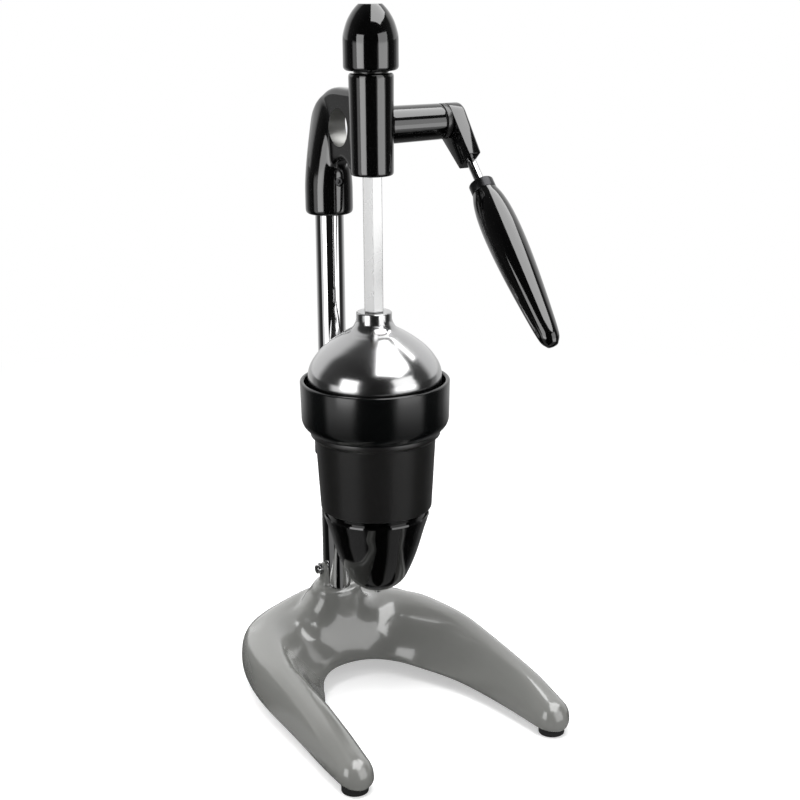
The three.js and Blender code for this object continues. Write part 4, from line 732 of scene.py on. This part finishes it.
# %% Guide, hub and bores of the head
HUB_RADIUS, HUB_END_RADIUS, HUB_END, SHAFT_BORE = 12.9, 12.2, 58.3, 9.3
HOLE_BACK, HOLE_HEIGHT, HOLE_RADIUS = ram_back + 35.9, 410.5, 13
SET_SCREW_HEIGHT, THREAD_HOLE, RAM_BORE = 372, 3.3, 10.3
hub_at = (0, hinge.y, hinge.z)
guide = spun([(0, GUIDE_BOTTOM), (GUIDE_RADII[0], GUIDE_BOTTOM, 1.6), (GUIDE_RADII[1], GUIDE_TOP, 1.4),
              (0, GUIDE_TOP)], ram_back)
hub = cylinder(HUB_RADIUS, 0, HUB_END, "X", hub_at, 96, HUB_END_RADIUS)
combine(head, [guide, hub], "UNION")
cast_skin(head, HEAD_VOXEL, 6)
cuts = [
    cylinder(HOLE_RADIUS, -20, 20, "X", (0, HOLE_BACK, HOLE_HEIGHT), 96),
    cylinder(COLUMN_BORE, 340, 396.3, at=foot_of_column, segments=96),
    cylinder(RAM_BORE, 370, 460, at=(0, ram_back, 0), segments=96),
    cylinder(SHAFT_BORE, -4.3, 62, "X", hub_at, 96),
    cylinder(THREAD_HOLE, -30, 0, "Y", (0, column_back, SET_SCREW_HEIGHT), 32),
]
combine(head, cuts, "DIFFERENCE")
put(head, "head_shell", "frame", "black_enamel", black_enamel, "head_casting", angle=50)
head.data.materials.append(bare_iron)
bare_faces = 0
for face in head.data.polygons:
    place = face.center / MM
    from_hole = math.hypot(place.y - HOLE_BACK, place.z - HOLE_HEIGHT)
    if abs(from_hole - HOLE_RADIUS) < 0.15 and abs(face.normal.x) < 0.1:
        face.material_index = 1
        bare_faces += 1
print("bare metal faces in the hole", bare_faces)

# %% [markdown]
# ## The column, its screws and the feet
#
# The column is plain chromed bar with a small chamfer at each end. The screws are socket screws: a
# round head with a softened rim, a hexagonal socket, and a shank. One tool makes them all along X, Y
# or Z, so that each only needs its sizes and its place.

# %% Column and screws
COLUMN_RADIUS, BOLT_DEPTH = 10, 18
foot, top = levels_of("column")
column = spun([(0, foot), (COLUMN_RADIUS, foot, 1), (COLUMN_RADIUS, top, 1), (0, top)], column_back, 128)
thread = cylinder(BOLT_HOLE, 0, foot + BOLT_DEPTH, at=foot_of_column)
put(combine(column, [thread], "DIFFERENCE"), "column_bar", "frame", "chrome", chrome, "column")


def socket_screw(shank, start, seat, head, height, flats, axis, at, flip=False):
    """A socket screw along an axis: its shank runs from start to the seat, its head stands on the seat.
    A screw whose head is no wider than its shank ends at the seat."""
    line = [(0, start), (shank, start, 0.3)]
    if head > shank:
        top = seat + height
        line += [(shank, seat), (head, seat, 0.3), (head, top, 0.6), (0, top)]
    else:
        top = seat
        line += [(shank, top, 0.3), (0, top)]
    socket = cylinder(flats / math.sqrt(3), top - 0.4 * height, top + 0.6 * height, segments=6)
    screw = combine(spun(line, steps=40), [socket], "DIFFERENCE")
    mirror = Matrix.Rotation(math.pi if flip else 0, 4, "Y" if axis == "X" else "X")
    screw.data.transform(Matrix.Translation(Vector(at) * MM) @ TURNS[axis] @ mirror)
    return screw


for flip, side in ((True, "left"), (False, "right")):
    screw = socket_screw(2, 10.4, 14.3, 3.4, 2.6, 3.0, "X", ear_at, flip)
    put(screw, f"clamp_screw_{side}", "frame", "chrome", chrome, f"column_clamp_screw_{side}")
    rim_line = [(SCREW_HOLE, 13.2), (4.4, 13.2, 0.2), (4.4, 14, 0.2), (SCREW_HOLE, 14)]
    rim = spun(rim_line, steps=48, closed=True)
    quarter = math.pi / 2 if side == "right" else -math.pi / 2
    bmesh.ops.rotate(rim, matrix=Matrix.Rotation(quarter, 3, "Y"), verts=rim.verts)
    move(rim, ear_at)
    put(rim, f"clamp_washer_{side}", "frame", "steel", plain_steel, f"column_clamp_washer_{side}")
print("ear screws at z", EAR_SCREW_HEIGHT)

# %% Set screw of the head and washer under the column
screw = socket_screw(3, 10.5, 15, 3, 3, 3, "Y", (0, column_back, SET_SCREW_HEIGHT), True)
put(screw, "sleeve_screw", "frame", "dark_steel", dark_steel, "head_set_screw")
low, high = levels_of("column_washer")
washer_line = [(BOLT_HOLE, low), (11, low, 0.3), (11, high, 0.3), (BOLT_HOLE, high)]
washer = spun(washer_line, column_back, closed=True)
put(washer, "foot_washer", "frame", "steel", plain_steel, "column_washer")

# %% [markdown]
# Rubber feet lift the casting off the bench. Each is a short plug with a soft lower rim, held by a
# slotted screw in a pocket. The front feet are shallow, the rear ones reach down from a higher seat.

# %% Rubber feet
for place, (x, y, seat) in foot_places.items():
    plug_top = seat - GAP
    foot_line = [(SCREW_HOLE, 3), (5, 3), (5, 0), (9, 0, 0.9), (9.2, plug_top, 0.5), (SCREW_HOLE, plug_top)]
    foot_bm = spun(foot_line, steps=64, closed=True)
    move(foot_bm, (x, y, 0))
    put(foot_bm, f"foot_{place}", "frame", "rubber", rubber, f"rubber_foot_{place}")
print("feet at", {name: tuple(round(v, 1) for v in spot) for name, spot in foot_places.items()})

# %% [markdown]
# ## The bowl holder
#
# A tapering bowl with a flange hangs on a bracket that is clamped round the column. Bowl, flange and
# inside are one closed line spun about the axis. The bracket and its clamp ring are joined to each
# other, cut free of the bowl and end at its rear wall, and a narrow bevel keeps their edges soft.

# %% Bowl, bracket and clamp
BRACKET_BOTTOM, BRACKET_TOP, BRACKET_HALF, CLAMP_RADIUS, CLAMP_SCREW_HEIGHT = 172, 200, 8, 14, 186
bowl_line = [
    (34.7, 149.8), (38.8, 149.8, 1.2), (41.8, 200.8, 0.8), (45, 203.4, 0.3), (45, 206.5, 0.6),
    (39.3, 206.5, 0.3), (36.3, 152.4, 0.6), (34.7, 152.4),
]
bowl = spun(bowl_line, ram_back, 128, closed=True)
put(bowl, "bowl_shell", "frame", "satin_black", satin_black, "bowl_holder", angle=35)
bracket = slab((-BRACKET_HALF, ram_back + 39.6, BRACKET_BOTTOM),
               (BRACKET_HALF, column_back - 6, BRACKET_TOP), 1.6)
clamp = combine(spun([(0, BRACKET_BOTTOM), (CLAMP_RADIUS, BRACKET_BOTTOM, 1), (CLAMP_RADIUS, BRACKET_TOP, 1),
                      (0, BRACKET_TOP)], column_back), [bracket], "UNION")
clamp_screw_at = (0, column_back, CLAMP_SCREW_HEIGHT)
combine(clamp, [cylinder(COLUMN_BORE, 160, 210, at=foot_of_column, segments=96),
                cylinder(THREAD_HOLE, 0, 30, "Y", clamp_screw_at, 32)], "DIFFERENCE")
bowl_room = spun([(0, 150), (38.6, 150), (41.5, 200.8), (0, 200.8)], ram_back, 128)
combine(clamp, [bowl_room], "DIFFERENCE")
put(clamp, "bracket_clamp", "frame", "satin_black", satin_black, "bowl_holder", angle=35)
screw = socket_screw(3, 10.4, 14.3, 5, 5, 4, "Y", clamp_screw_at)
put(screw, "bracket_screw", "frame", "dark_steel", dark_steel, "holder_clamp_screw")

# %% [markdown]
# ## The drip cone and its spout
#
# Below the bowl a pointed cone leads the juice to a small metal spout. It is a shell with a shoulder, a
# narrow neck that leaves a groove under the bowl, and a flange inside that holds it.

# %% Cone and spout
CONE_RADIUS, CONE_BOTTOM, CONE_TOP, CONE_WALL, CONE_HOLE, FLANGE_INNER = 37, 88, 145.4, 2.4, 2.6, 32
cone_shares = [(0.2, 0), (0.34, 0.04), (0.52, 0.14), (0.65, 0.3), (0.75, 0.46), (0.83, 0.62), (0.9, 0.78),
               (0.96, 0.9), (1, 0.979)]
side = side_line(cone_shares, CONE_RADIUS, CONE_BOTTOM, CONE_TOP - CONE_BOTTOM, 40)
inside = [(min(r - CONE_WALL, FLANGE_INNER), z + CONE_WALL) for r, z in side if r > CONE_RADIUS * 0.4][::-1]
cone_line = [(CONE_HOLE, CONE_BOTTOM), *side, (CONE_RADIUS - 0.4, CONE_TOP), (34.4, CONE_TOP), (34.4, 152.7),
             (35.9, 152.7), (35.9, 154.7), (FLANGE_INNER, 154.7), *inside, (CONE_HOLE, inside[-1][1] - 1.5)]
cone = spun(cone_line, ram_back, 128, closed=True)
put(cone, "cone_shell", "frame", "black_enamel", black_lacquer, "drip_cone", angle=35)
low, high = levels_of("spout_tip")
spout = spun([(1.5, low), (2.3, low, 0.3), (2.3, high), (1.5, high)], ram_back, 40, closed=True)
put(spout, "spout_tube", "frame", "chrome", chrome, "spout_tip")
print("spout from", round(low, 1), "to", round(high, 1))

# %% [markdown]
# ## Cup, strainer and reamer
#
# The black cup sits in the bowl's flange with a short spigot. In it stands a sheet-metal pan with a ring
# of slots, and on the pan the ribbed cone that the fruit is pressed on. The dome hides both at rest,
# but they show when the lever is raised.

# %% Cup
cup_line = [
    (35.9, 200.8), (38.25, 200.8, 0.4), (38.25, 206.8), (46, 206.8, 0.5), (51, 212.2, 3.2), (51.7, 242, 1.1),
    (48.7, 242, 1.1), (48, 209.8, 1.2), (35.9, 209.8),
]
cup = spun(cup_line, ram_back, 160, closed=True)
put(cup, "cup_shell", "frame", "black_enamel", black_plastic, "juice_cup", angle=35)

# %% Strainer pan with its slots
PAN_RADIUS, PAN_BOTTOM, PAN_WALL, PAN_HEIGHT = 47.7, 210.1, 1.4, 20
SLOTS, SLOT_LENGTH, SLOT_WIDTH, SLOT_RADIUS = 12, 10.7, 3, 33.35
pan_inner, pan_rim = PAN_RADIUS - PAN_WALL, PAN_BOTTOM + PAN_HEIGHT
pan_line = [(0, PAN_BOTTOM), (PAN_RADIUS, PAN_BOTTOM, 2), (PAN_RADIUS, pan_rim, 0.5),
            (pan_inner, pan_rim, 0.5), (pan_inner, PAN_BOTTOM + PAN_WALL, 1.2), (0, PAN_BOTTOM + PAN_WALL)]
slots = bmesh.new()
for k in range(SLOTS):
    made = bmesh.ops.create_cube(slots, size=1)["verts"]
    bmesh.ops.scale(slots, vec=Vector((SLOT_LENGTH, SLOT_WIDTH, 5)) * MM, verts=made)
    move(slots, (SLOT_RADIUS, 0, PAN_BOTTOM + PAN_WALL / 2), made)
    bmesh.ops.rotate(slots, matrix=Matrix.Rotation(2 * math.pi * k / SLOTS, 3, "Z"), verts=made)
pan = combine(spun(pan_line, 0, 128), [slots], "DIFFERENCE")
pan.data.transform(Matrix.Translation((0, ram_back * MM, 0)))
put(pan, "strainer_pan", "frame", "steel", polished_steel, "strainer_cup", angle=35)

# %% Reamer with ten ribs
REAMER_RADIUS, REAMER_HEIGHT, RIBS, RIB_DEPTH = 25, 40, 10, 1.6
reamer_shares = [(1, 0), (0.96, 0.12), (0.84, 0.35), (0.66, 0.6), (0.42, 0.83), (0.18, 0.96), (0.05, 1)]
reamer_side = side_line(reamer_shares, REAMER_RADIUS, 0, REAMER_HEIGHT, 26)
reamer_bm = spun([(0, 0), *reamer_side, (0, REAMER_HEIGHT)], 0, 160)
for vert in reamer_bm.verts:
    flat = Vector((vert.co.x, vert.co.y)) / MM
    share = min(flat.length / REAMER_RADIUS, 1)
    rib = (1 + math.cos(RIBS * math.atan2(flat.y, flat.x))) / 2
    if flat.length > 0.01:
        depth = RIB_DEPTH * min(1, 3 * share) * share * rib
        vert.co.x *= 1 - depth / flat.length
        vert.co.y *= 1 - depth / flat.length
move(reamer_bm, (0, ram_back, PAN_BOTTOM + PAN_WALL + GAP))
put(reamer_bm, "reamer_ribbed", "frame", "steel", polished_steel, "reamer_cone", angle=60)

# %% [markdown]
# ## Ram, dome and cap
#
# The ram is a hexagonal steel bar with rack teeth cut into its rear. Its CAD shape is right and only
# its edges are too sharp, so a copy is welded and given a small bevel. The dome is spun sheet metal,
# polished, with a neck that hides the nut, and a pointed cap closes the ram's top end.

# %% Ram
def softened(node, name, body, slot, material, bevel, angle=30):
    """A copy of a CAD node with its loose triangles welded and its edges bevelled. A small angle keeps
    the flats flat."""
    bm = bmesh.new()
    bm.from_mesh(nodes[node].data)
    bmesh.ops.remove_doubles(bm, verts=bm.verts, dist=1e-6)
    bmesh.ops.dissolve_limit(bm, angle_limit=math.radians(1), verts=bm.verts, edges=bm.edges)
    obj = as_object(bm, name)
    soft = obj.modifiers.new("soft", "BEVEL")
    soft.width = bevel * MM
    soft.segments = 2
    soft.limit_method = "ANGLE"
    soft.angle_limit = math.radians(30)
    put(settle(obj), name, body, slot, material, node, angle=angle)


softened("ram_rack", "ram_bar", "ram", "steel", plain_steel, 0.25, angle=12)

# %% Dome
DOME_RIM, DOME_HEIGHT, DOME_RADIUS, DOME_WALL, NECK_RADIUS, RAM_HOLE = 236, 53.5, 45.7, 2.4, 12.2, 4.3
HOLLOW_TOP, NECK_LENGTH = 264, 5.3
dome_shares = [(1, 0), (1.01, 0.17), (0.985, 0.28), (0.915, 0.39), (0.8, 0.51), (0.65, 0.617), (0.48, 0.715),
               (0.34, 0.785), (0.28, 0.86)]
outline = side_line(dome_shares, DOME_RADIUS, DOME_RIM, DOME_HEIGHT, 56)
hollow = [(r - DOME_WALL, z - DOME_WALL * (z - DOME_RIM) / (HOLLOW_TOP - DOME_RIM))
          for r, z in outline if z < HOLLOW_TOP][::-1]
neck_top = DOME_RIM + DOME_HEIGHT
dome_line = [*outline, (NECK_RADIUS, neck_top - NECK_LENGTH), (NECK_RADIUS, neck_top, 1.0),
             (RAM_HOLE, neck_top), (RAM_HOLE, hollow[0][1]), *hollow, (DOME_RADIUS - DOME_WALL, DOME_RIM)]
dome = spun(dome_line, ram_back, 160, closed=True)
put(dome, "dome_shell", "ram", "steel", polished_steel, "press_dome", angle=35)
softened("dome_nut", "dome_nut_soft", "ram", "dark_steel", dark_steel, 0.3, angle=12)

# %% Cap
CAP_RADIUS, CAP_HEIGHT, CAP_TIP, CAP_BORE, CAP_BORE_DEPTH = 18.3, 42.3, 7.8, 7.9, 10.3
cap_shares = [(1, 0.467), (0.985, 0.544), (0.935, 0.632), (0.86, 0.729), (0.775, 0.806), (0.65, 0.893),
              (0.52, 0.961), (CAP_TIP / CAP_RADIUS, 1)]
cap_bottom = levels_of("bullet_cap")[0]
bore_top = cap_bottom + CAP_BORE_DEPTH
cap_line = [(0, bore_top), (CAP_BORE, bore_top), (CAP_BORE, cap_bottom), (CAP_RADIUS, cap_bottom, 2.8),
            *side_line(cap_shares, CAP_RADIUS, cap_bottom, CAP_HEIGHT, 32), (0, cap_bottom + CAP_HEIGHT)]
put(spun(cap_line, ram_back, 128), "cap_shell", "ram", "black_enamel", black_lacquer, "bullet_cap", angle=35)
print("cap bottom", round(cap_bottom, 2))

# %% Bushes
bush_line = [(7.8, 435), (10, 435, 0.4), (10, 449.3), (11.6, 449.3), (11.6, 450.2, 0.3), (7.8, 450.2)]
bush = spun(bush_line, ram_back, 96, closed=True)
put(bush, "ram_bush_upper", "frame", "satin_black", satin_black, "upper_ram_bush", angle=35)
softened("thrust_washer", "shaft_washer", "frame", "satin_black", satin_black, 0.15)
for node, name in (("lower_ram_bush", "ram_bush_lower"), ("inner_shaft_bush", "shaft_bush_inner"),
                   ("outer_shaft_bush", "shaft_bush_outer")):
    softened(node, name, "frame", "bronze", bronze, 0.15)

# %% [markdown]
# ## The lever
#
# Arm, rod, ferrule and grip are drawn with the lever hanging straight down below the hub, where
# every size is simple, and then swung forward by the angle at which the lever rests. The arm is a flat
# plate with a round head; its inner face is cut back towards the rod. The grip is one smooth handle
# that is thickest near the ferrule.

# %% Arm
REST_ANGLE = 0.236 * math.pi
ARM_INNER, ARM_WIDTH, ARM_INSET, ARM_LENGTH, ARM_END_HALF, ARM_SOFT = 62.5, 11.8, 1.6, 34, 8.6, 2.6
HEAD_STEPS, ROD_TOP, ROD_BORE = 40, -18, 3.7
ARM_OUTER = ARM_INNER + ARM_WIDTH
LEVER_PLANE = ARM_OUTER - (ARM_WIDTH - ARM_INSET) / 2
swing = Matrix.Translation(Vector(hub_at) * MM) @ Matrix.Rotation(-REST_ANGLE, 4, "X")

lean = math.asin((HUB_END_RADIUS - ARM_END_HALF) / ARM_LENGTH)
outline = []
for k in range(HEAD_STEPS + 1):
    angle = -lean + (math.pi + 2 * lean) * k / HEAD_STEPS
    outline.append(Vector((ARM_INNER, HUB_END_RADIUS * math.cos(angle), HUB_END_RADIUS * math.sin(angle))))
outline += [Vector((ARM_INNER, -ARM_END_HALF, -ARM_LENGTH)), Vector((ARM_INNER, ARM_END_HALF, -ARM_LENGTH))]
arm_bm = plate(outline, ARM_WIDTH)
for vert in arm_bm.verts:
    if vert.co.x < (ARM_INNER + 1) * MM and vert.co.z < -ARM_LENGTH * MM * 0.99:
        vert.co.x += ARM_INSET * MM
outer_rim = [e for e in arm_bm.edges if min(v.co.x for v in e.verts) > (ARM_OUTER - 0.01) * MM]
round_off(arm_bm, outer_rim, ARM_SOFT, 5)
inner_rim = [e for e in arm_bm.edges if not e.smooth or e.calc_face_angle(0) > math.radians(40)]
round_off(arm_bm, inner_rim, 0.5, 2)
arm_middle = (ARM_INNER + ARM_WIDTH / 2, 0, 0)
cuts = [cylinder(6.8, 55, ARM_OUTER - ARM_SOFT, "X"),
        cylinder(ROD_BORE, -ARM_LENGTH - 3, ROD_TOP, at=(LEVER_PLANE, 0, 0)),
        cylinder(2.8, 0, 16, at=arm_middle, segments=32)]
arm = combine(arm_bm, cuts, "DIFFERENCE")
screw = socket_screw(2.5, 6.6, 11.5, 2.5, 3, 2.5, "Z", arm_middle)
for piece in (arm, screw):
    piece.data.transform(swing)
put(arm, "arm_plate", "lever", "black_enamel", black_enamel, "crank_arm", angle=35)
put(screw, "arm_screw", "lever", "dark_steel", dark_steel, "arm_set_screw")

# %% Rod, ferrule and grip
ROD_RADIUS, ROD_IN_GRIP, FERRULE_START, FERRULE_LENGTH, FERRULE_RADIUS = 3.4, 59.7, 52.2, 7.5, 8.6
GRIP_LENGTH, GRIP_RADIUS, GRIP_BORE_DEPTH = 121.2, 12.9, 60
FERRULE_END = FERRULE_START + FERRULE_LENGTH
GRIP_START = FERRULE_END + GAP


def hang(bm, name):
    """Moves a piece from the vertical axis to the lever's plane and swings it to its rest."""
    obj = as_object(bm, name)
    obj.data.transform(swing @ Matrix.Translation((LEVER_PLANE * MM, 0, 0)))
    return obj


rod_end, rod_start = -GRIP_START - ROD_IN_GRIP, ROD_TOP - GAP
rod = spun([(0, rod_end), (ROD_RADIUS, rod_end, 0.4), (ROD_RADIUS, rod_start, 0.4), (0, rod_start)], 0, 48)
put(hang(rod, "rod"), "lever_bar", "lever", "chrome", chrome, "lever_rod")
collar = spun([(ROD_BORE, -FERRULE_END), (FERRULE_RADIUS, -FERRULE_END, 0.5),
               (FERRULE_RADIUS, -FERRULE_START, 0.9), (ROD_BORE, -FERRULE_START)], 0, 64, closed=True)
put(hang(collar, "collar"), "lever_collar", "lever", "dark_steel", dark_steel, "lever_ferrule")
grip_shares = [(0.68, 0), (0.84, 0.06), (0.95, 0.14), (1, 0.25), (0.985, 0.38), (0.92, 0.52), (0.82, 0.66),
               (0.7, 0.8), (0.6, 0.9), (0.5, 0.955), (0.3, 0.99)]
bore_end = -GRIP_START - GRIP_BORE_DEPTH
grip_side = side_line(grip_shares, GRIP_RADIUS, -GRIP_START, -GRIP_LENGTH, 60)
grip_line = [(0, bore_end), (ROD_BORE, bore_end), (ROD_BORE, -GRIP_START), *grip_side,
             (0, -GRIP_START - GRIP_LENGTH)]
grip = hang(spun(grip_line), "grip")
put(grip, "grip_handle", "lever", "black_plastic", black_lacquer, "lever_grip", angle=40)

# %% [markdown]
# The pieces that are left stay as the CAD made them: the pinion with its shaft, the bolt in the
# column's foot and the screws in the rubber feet. They only need their metal.

# %% Metals for the CAD pieces that stay
for node, material in (("pinion_shaft", plain_steel), ("column_bolt", dark_steel),
                       *((f"foot_screw_{place}", plain_steel) for place in foot_places)):
    for slot in nodes[node].material_slots:
        slot.material = material
print("CAD pieces that still show:", sorted(name for name, node in nodes.items() if not node.hide_render))

# %% [markdown]
# ## Floor, backdrop and lamps
#
# The press stands on a pale floor that keeps its soft shadow and fades to plain white farther out. To
# the camera and in reflections the surroundings behind the press are white, and the camera's side of
# the room is dim, because that is what draws the dark bodies and the bright stripes on black enamel and
# chrome. Two upright soft boxes make the stripes, a level panel above the right side lights the faces
# that slope upwards, and weaker lamps give an even light.

# %% Floor
FLOOR_RADIUS = 40
CAMERA_SIDE, FAR_SIDE = (-0.5, -0.866, 0.0), (0.5, 0.866, 0.0)


def round_about(tree, direction, towards, stops):
    """Greys by the way a direction points: the ramp's 1 is straight towards the given side, 0 is away
    from it."""
    facing = add_node(tree, "VectorMath", {0: direction, 1: towards}, operation="DOT_PRODUCT")
    ramp = add_node(tree, "ValToRGB", {"Fac": calculate(tree, "MULTIPLY_ADD", (facing, "Value"), 0.5, 0.5)})
    points = ramp.color_ramp.elements
    for number, (stop, grey) in enumerate(stops):
        point = points[number] if number < 2 else points.new(stop)
        point.position = stop
        point.color = (grey, grey, grey, 1)
    return ramp, "Color"


def ray_kinds(tree):
    """Two sockets: is the ray the camera's own, and is it mirrored or seen through something."""
    rays = add_node(tree, "LightPath")
    mirrored = calculate(tree, "MAXIMUM", (rays, "Is Glossy Ray"), (rays, "Is Transmission Ray"))
    return (rays, "Is Camera Ray"), mirrored


floor_bm = bmesh.new()
bmesh.ops.create_circle(floor_bm, cap_ends=True, segments=96, radius=FLOOR_RADIUS)
floor = as_object(floor_bm, "floor")
paper = bpy.data.materials.new("paper")
paper.use_nodes = True
tree = paper.node_tree
seen, mirrored = ray_kinds(tree)
place = (add_node(tree, "TexCoord"), "Object")
distance = (add_node(tree, "VectorMath", {0: place}, operation="LENGTH"), "Value")
plain = feed(tree, tree.nodes["Principled BSDF"], {
    "Base Color": (0.8, 0.8, 0.8, 1), "Roughness": 0.9, "Specular IOR Level": 0.1,
})
glow = add_node(tree, "Emission", {"Strength": calculate(tree, "MULTIPLY", seen, 0.42)})
lit = add_node(tree, "AddShader", {0: (plain, "BSDF"), 1: (glow, "Emission")})
fade = add_node(tree, "MapRange", {"Value": distance, "From Min": 0.35, "From Max": 1.1},
                interpolation_type="SMOOTHSTEP")
white_far = add_node(tree, "Emission")
fading = calculate(tree, "MULTIPLY", (fade, "Result"), seen)
direct = add_node(tree, "MixShader", {"Fac": fading, 1: (lit, "Shader"), 2: (white_far, "Emission")})
outwards = add_node(tree, "VectorMath", {0: place}, operation="NORMALIZE")
shade = round_about(tree, (outwards, "Vector"), CAMERA_SIDE, [
    (0.0, 0.7), (0.15, 0.6), (0.22, 0.25), (0.28, 0.2), (0.34, 0.05), (0.5, 0.03), (0.58, 0.012),
    (0.64, 1.0), (0.9, 1.0), (0.95, 0.01),
])
nearer = add_node(tree, "MapRange", {
    "Value": distance, "From Min": 0.5, "From Max": 0.95, "To Min": 0.2, "To Max": 1.0,
}, interpolation_type="SMOOTHSTEP")
mirror_floor = add_node(tree, "Emission", {"Color": shade, "Strength": (nearer, "Result")})
blend = add_node(tree, "MixShader", {"Fac": mirrored, 1: (direct, "Shader"), 2: (mirror_floor, "Emission")})
feed(tree, tree.nodes["Material Output"], {"Surface": (blend, "Shader")})
floor.data.materials.append(paper)
print("floor radius", FLOOR_RADIUS, "m")

# %% Room
world = bpy.data.worlds.new("studio")
bpy.context.scene.world = world
world.use_nodes = True
tree = world.node_tree
seen, mirrored = ray_kinds(tree)
place = add_node(tree, "TexCoord")
wall = round_about(tree, (place, "Generated"), FAR_SIDE,
                   [(0.22, 0.008), (0.45, 0.045), (0.62, 0.08), (0.72, 0.8), (1.0, 1.0)])
ambient = feed(tree, tree.nodes["Background"], {"Color": (1, 1, 1, 1), "Strength": 0.54})
white = add_node(tree, "Background", {"Color": (1, 1, 1, 1), "Strength": 1.0})
room = add_node(tree, "Background", {"Color": wall})
inner = add_node(tree, "MixShader", {"Fac": mirrored, 1: (ambient, "Background"), 2: (room, "Background")})
outer = add_node(tree, "MixShader", {"Fac": seen, 1: (inner, "Shader"), 2: (white, "Background")})
feed(tree, tree.nodes["World Output"], {"Surface": (outer, "Shader")})
print("ambient strength", ambient.inputs["Strength"].default_value)

# %% Lamps
camera_side = Vector((camera_back.x, camera_back.y, 0)).normalized()
camera_aside = Vector((camera_right.x, camera_right.y, 0)).normalized()


def add_lamp(name, width, height, power, place, turn, diffuse, glossy):
    """A rectangular area lamp that the camera doesn't see."""
    lamp = bpy.data.lights.new(name, "AREA")
    lamp.shape = "RECTANGLE"
    lamp.size = width
    lamp.size_y = height
    lamp.energy = power
    obj = add_object(name, lamp)
    obj.location = place
    obj.rotation_euler = turn
    obj.visible_camera = False
    obj.visible_diffuse = diffuse
    obj.visible_glossy = glossy


def soft_box(name, azimuth, distance, bottom, top, width, power, diffuse=True, glossy=True, aim=0.25):
    """An upright soft box that looks at the axis at the height aim. Azimuth is measured from the
    camera's side, positive to the camera's right."""
    place = camera_side * distance
    place.rotate(Matrix.Rotation(math.radians(azimuth), 3, "Z"))
    place.z = (bottom + top) / 2
    turn = (Vector((0, 0, aim)) - place).to_track_quat("-Z", "Y").to_euler()
    add_lamp(name, width, top - bottom, power, place, turn, diffuse, glossy)


def panel_above(name, ahead, aside, height, depth, width, power):
    """A level panel that shows in glossy surfaces only. It is placed from the middle of the floor, ahead
    towards the camera's side and aside to the camera's right."""
    place = camera_side * ahead + camera_aside * aside + Vector((0, 0, height))
    turn = (0, 0, math.atan2(camera_side.y, camera_side.x))
    add_lamp(name, depth, width, power, place, turn, False, True)


# Each soft box has its azimuth, distance, bottom, top, width and power.
soft_box("stripe_left", -43.5, 1.0, 0.01, 0.78, 0.54, 3.6, diffuse=False)
soft_box("stripe_right", 53, 1.0, 0.01, 0.85, 0.72, 3.5, diffuse=False)
panel_above("panel_right", 0.3, 1.1, 2.2, 2.8, 2.0, 72)
soft_box("fill_left", -115, 1.2, 0.1, 1.5, 0.8, 14, glossy=False)
soft_box("fill_right", 50, 1.2, 0.1, 1.5, 0.8, 3.5, glossy=False)
soft_box("top", 0, 0.3, 1.6, 2.2, 1.2, 27, glossy=False, aim=1.0)
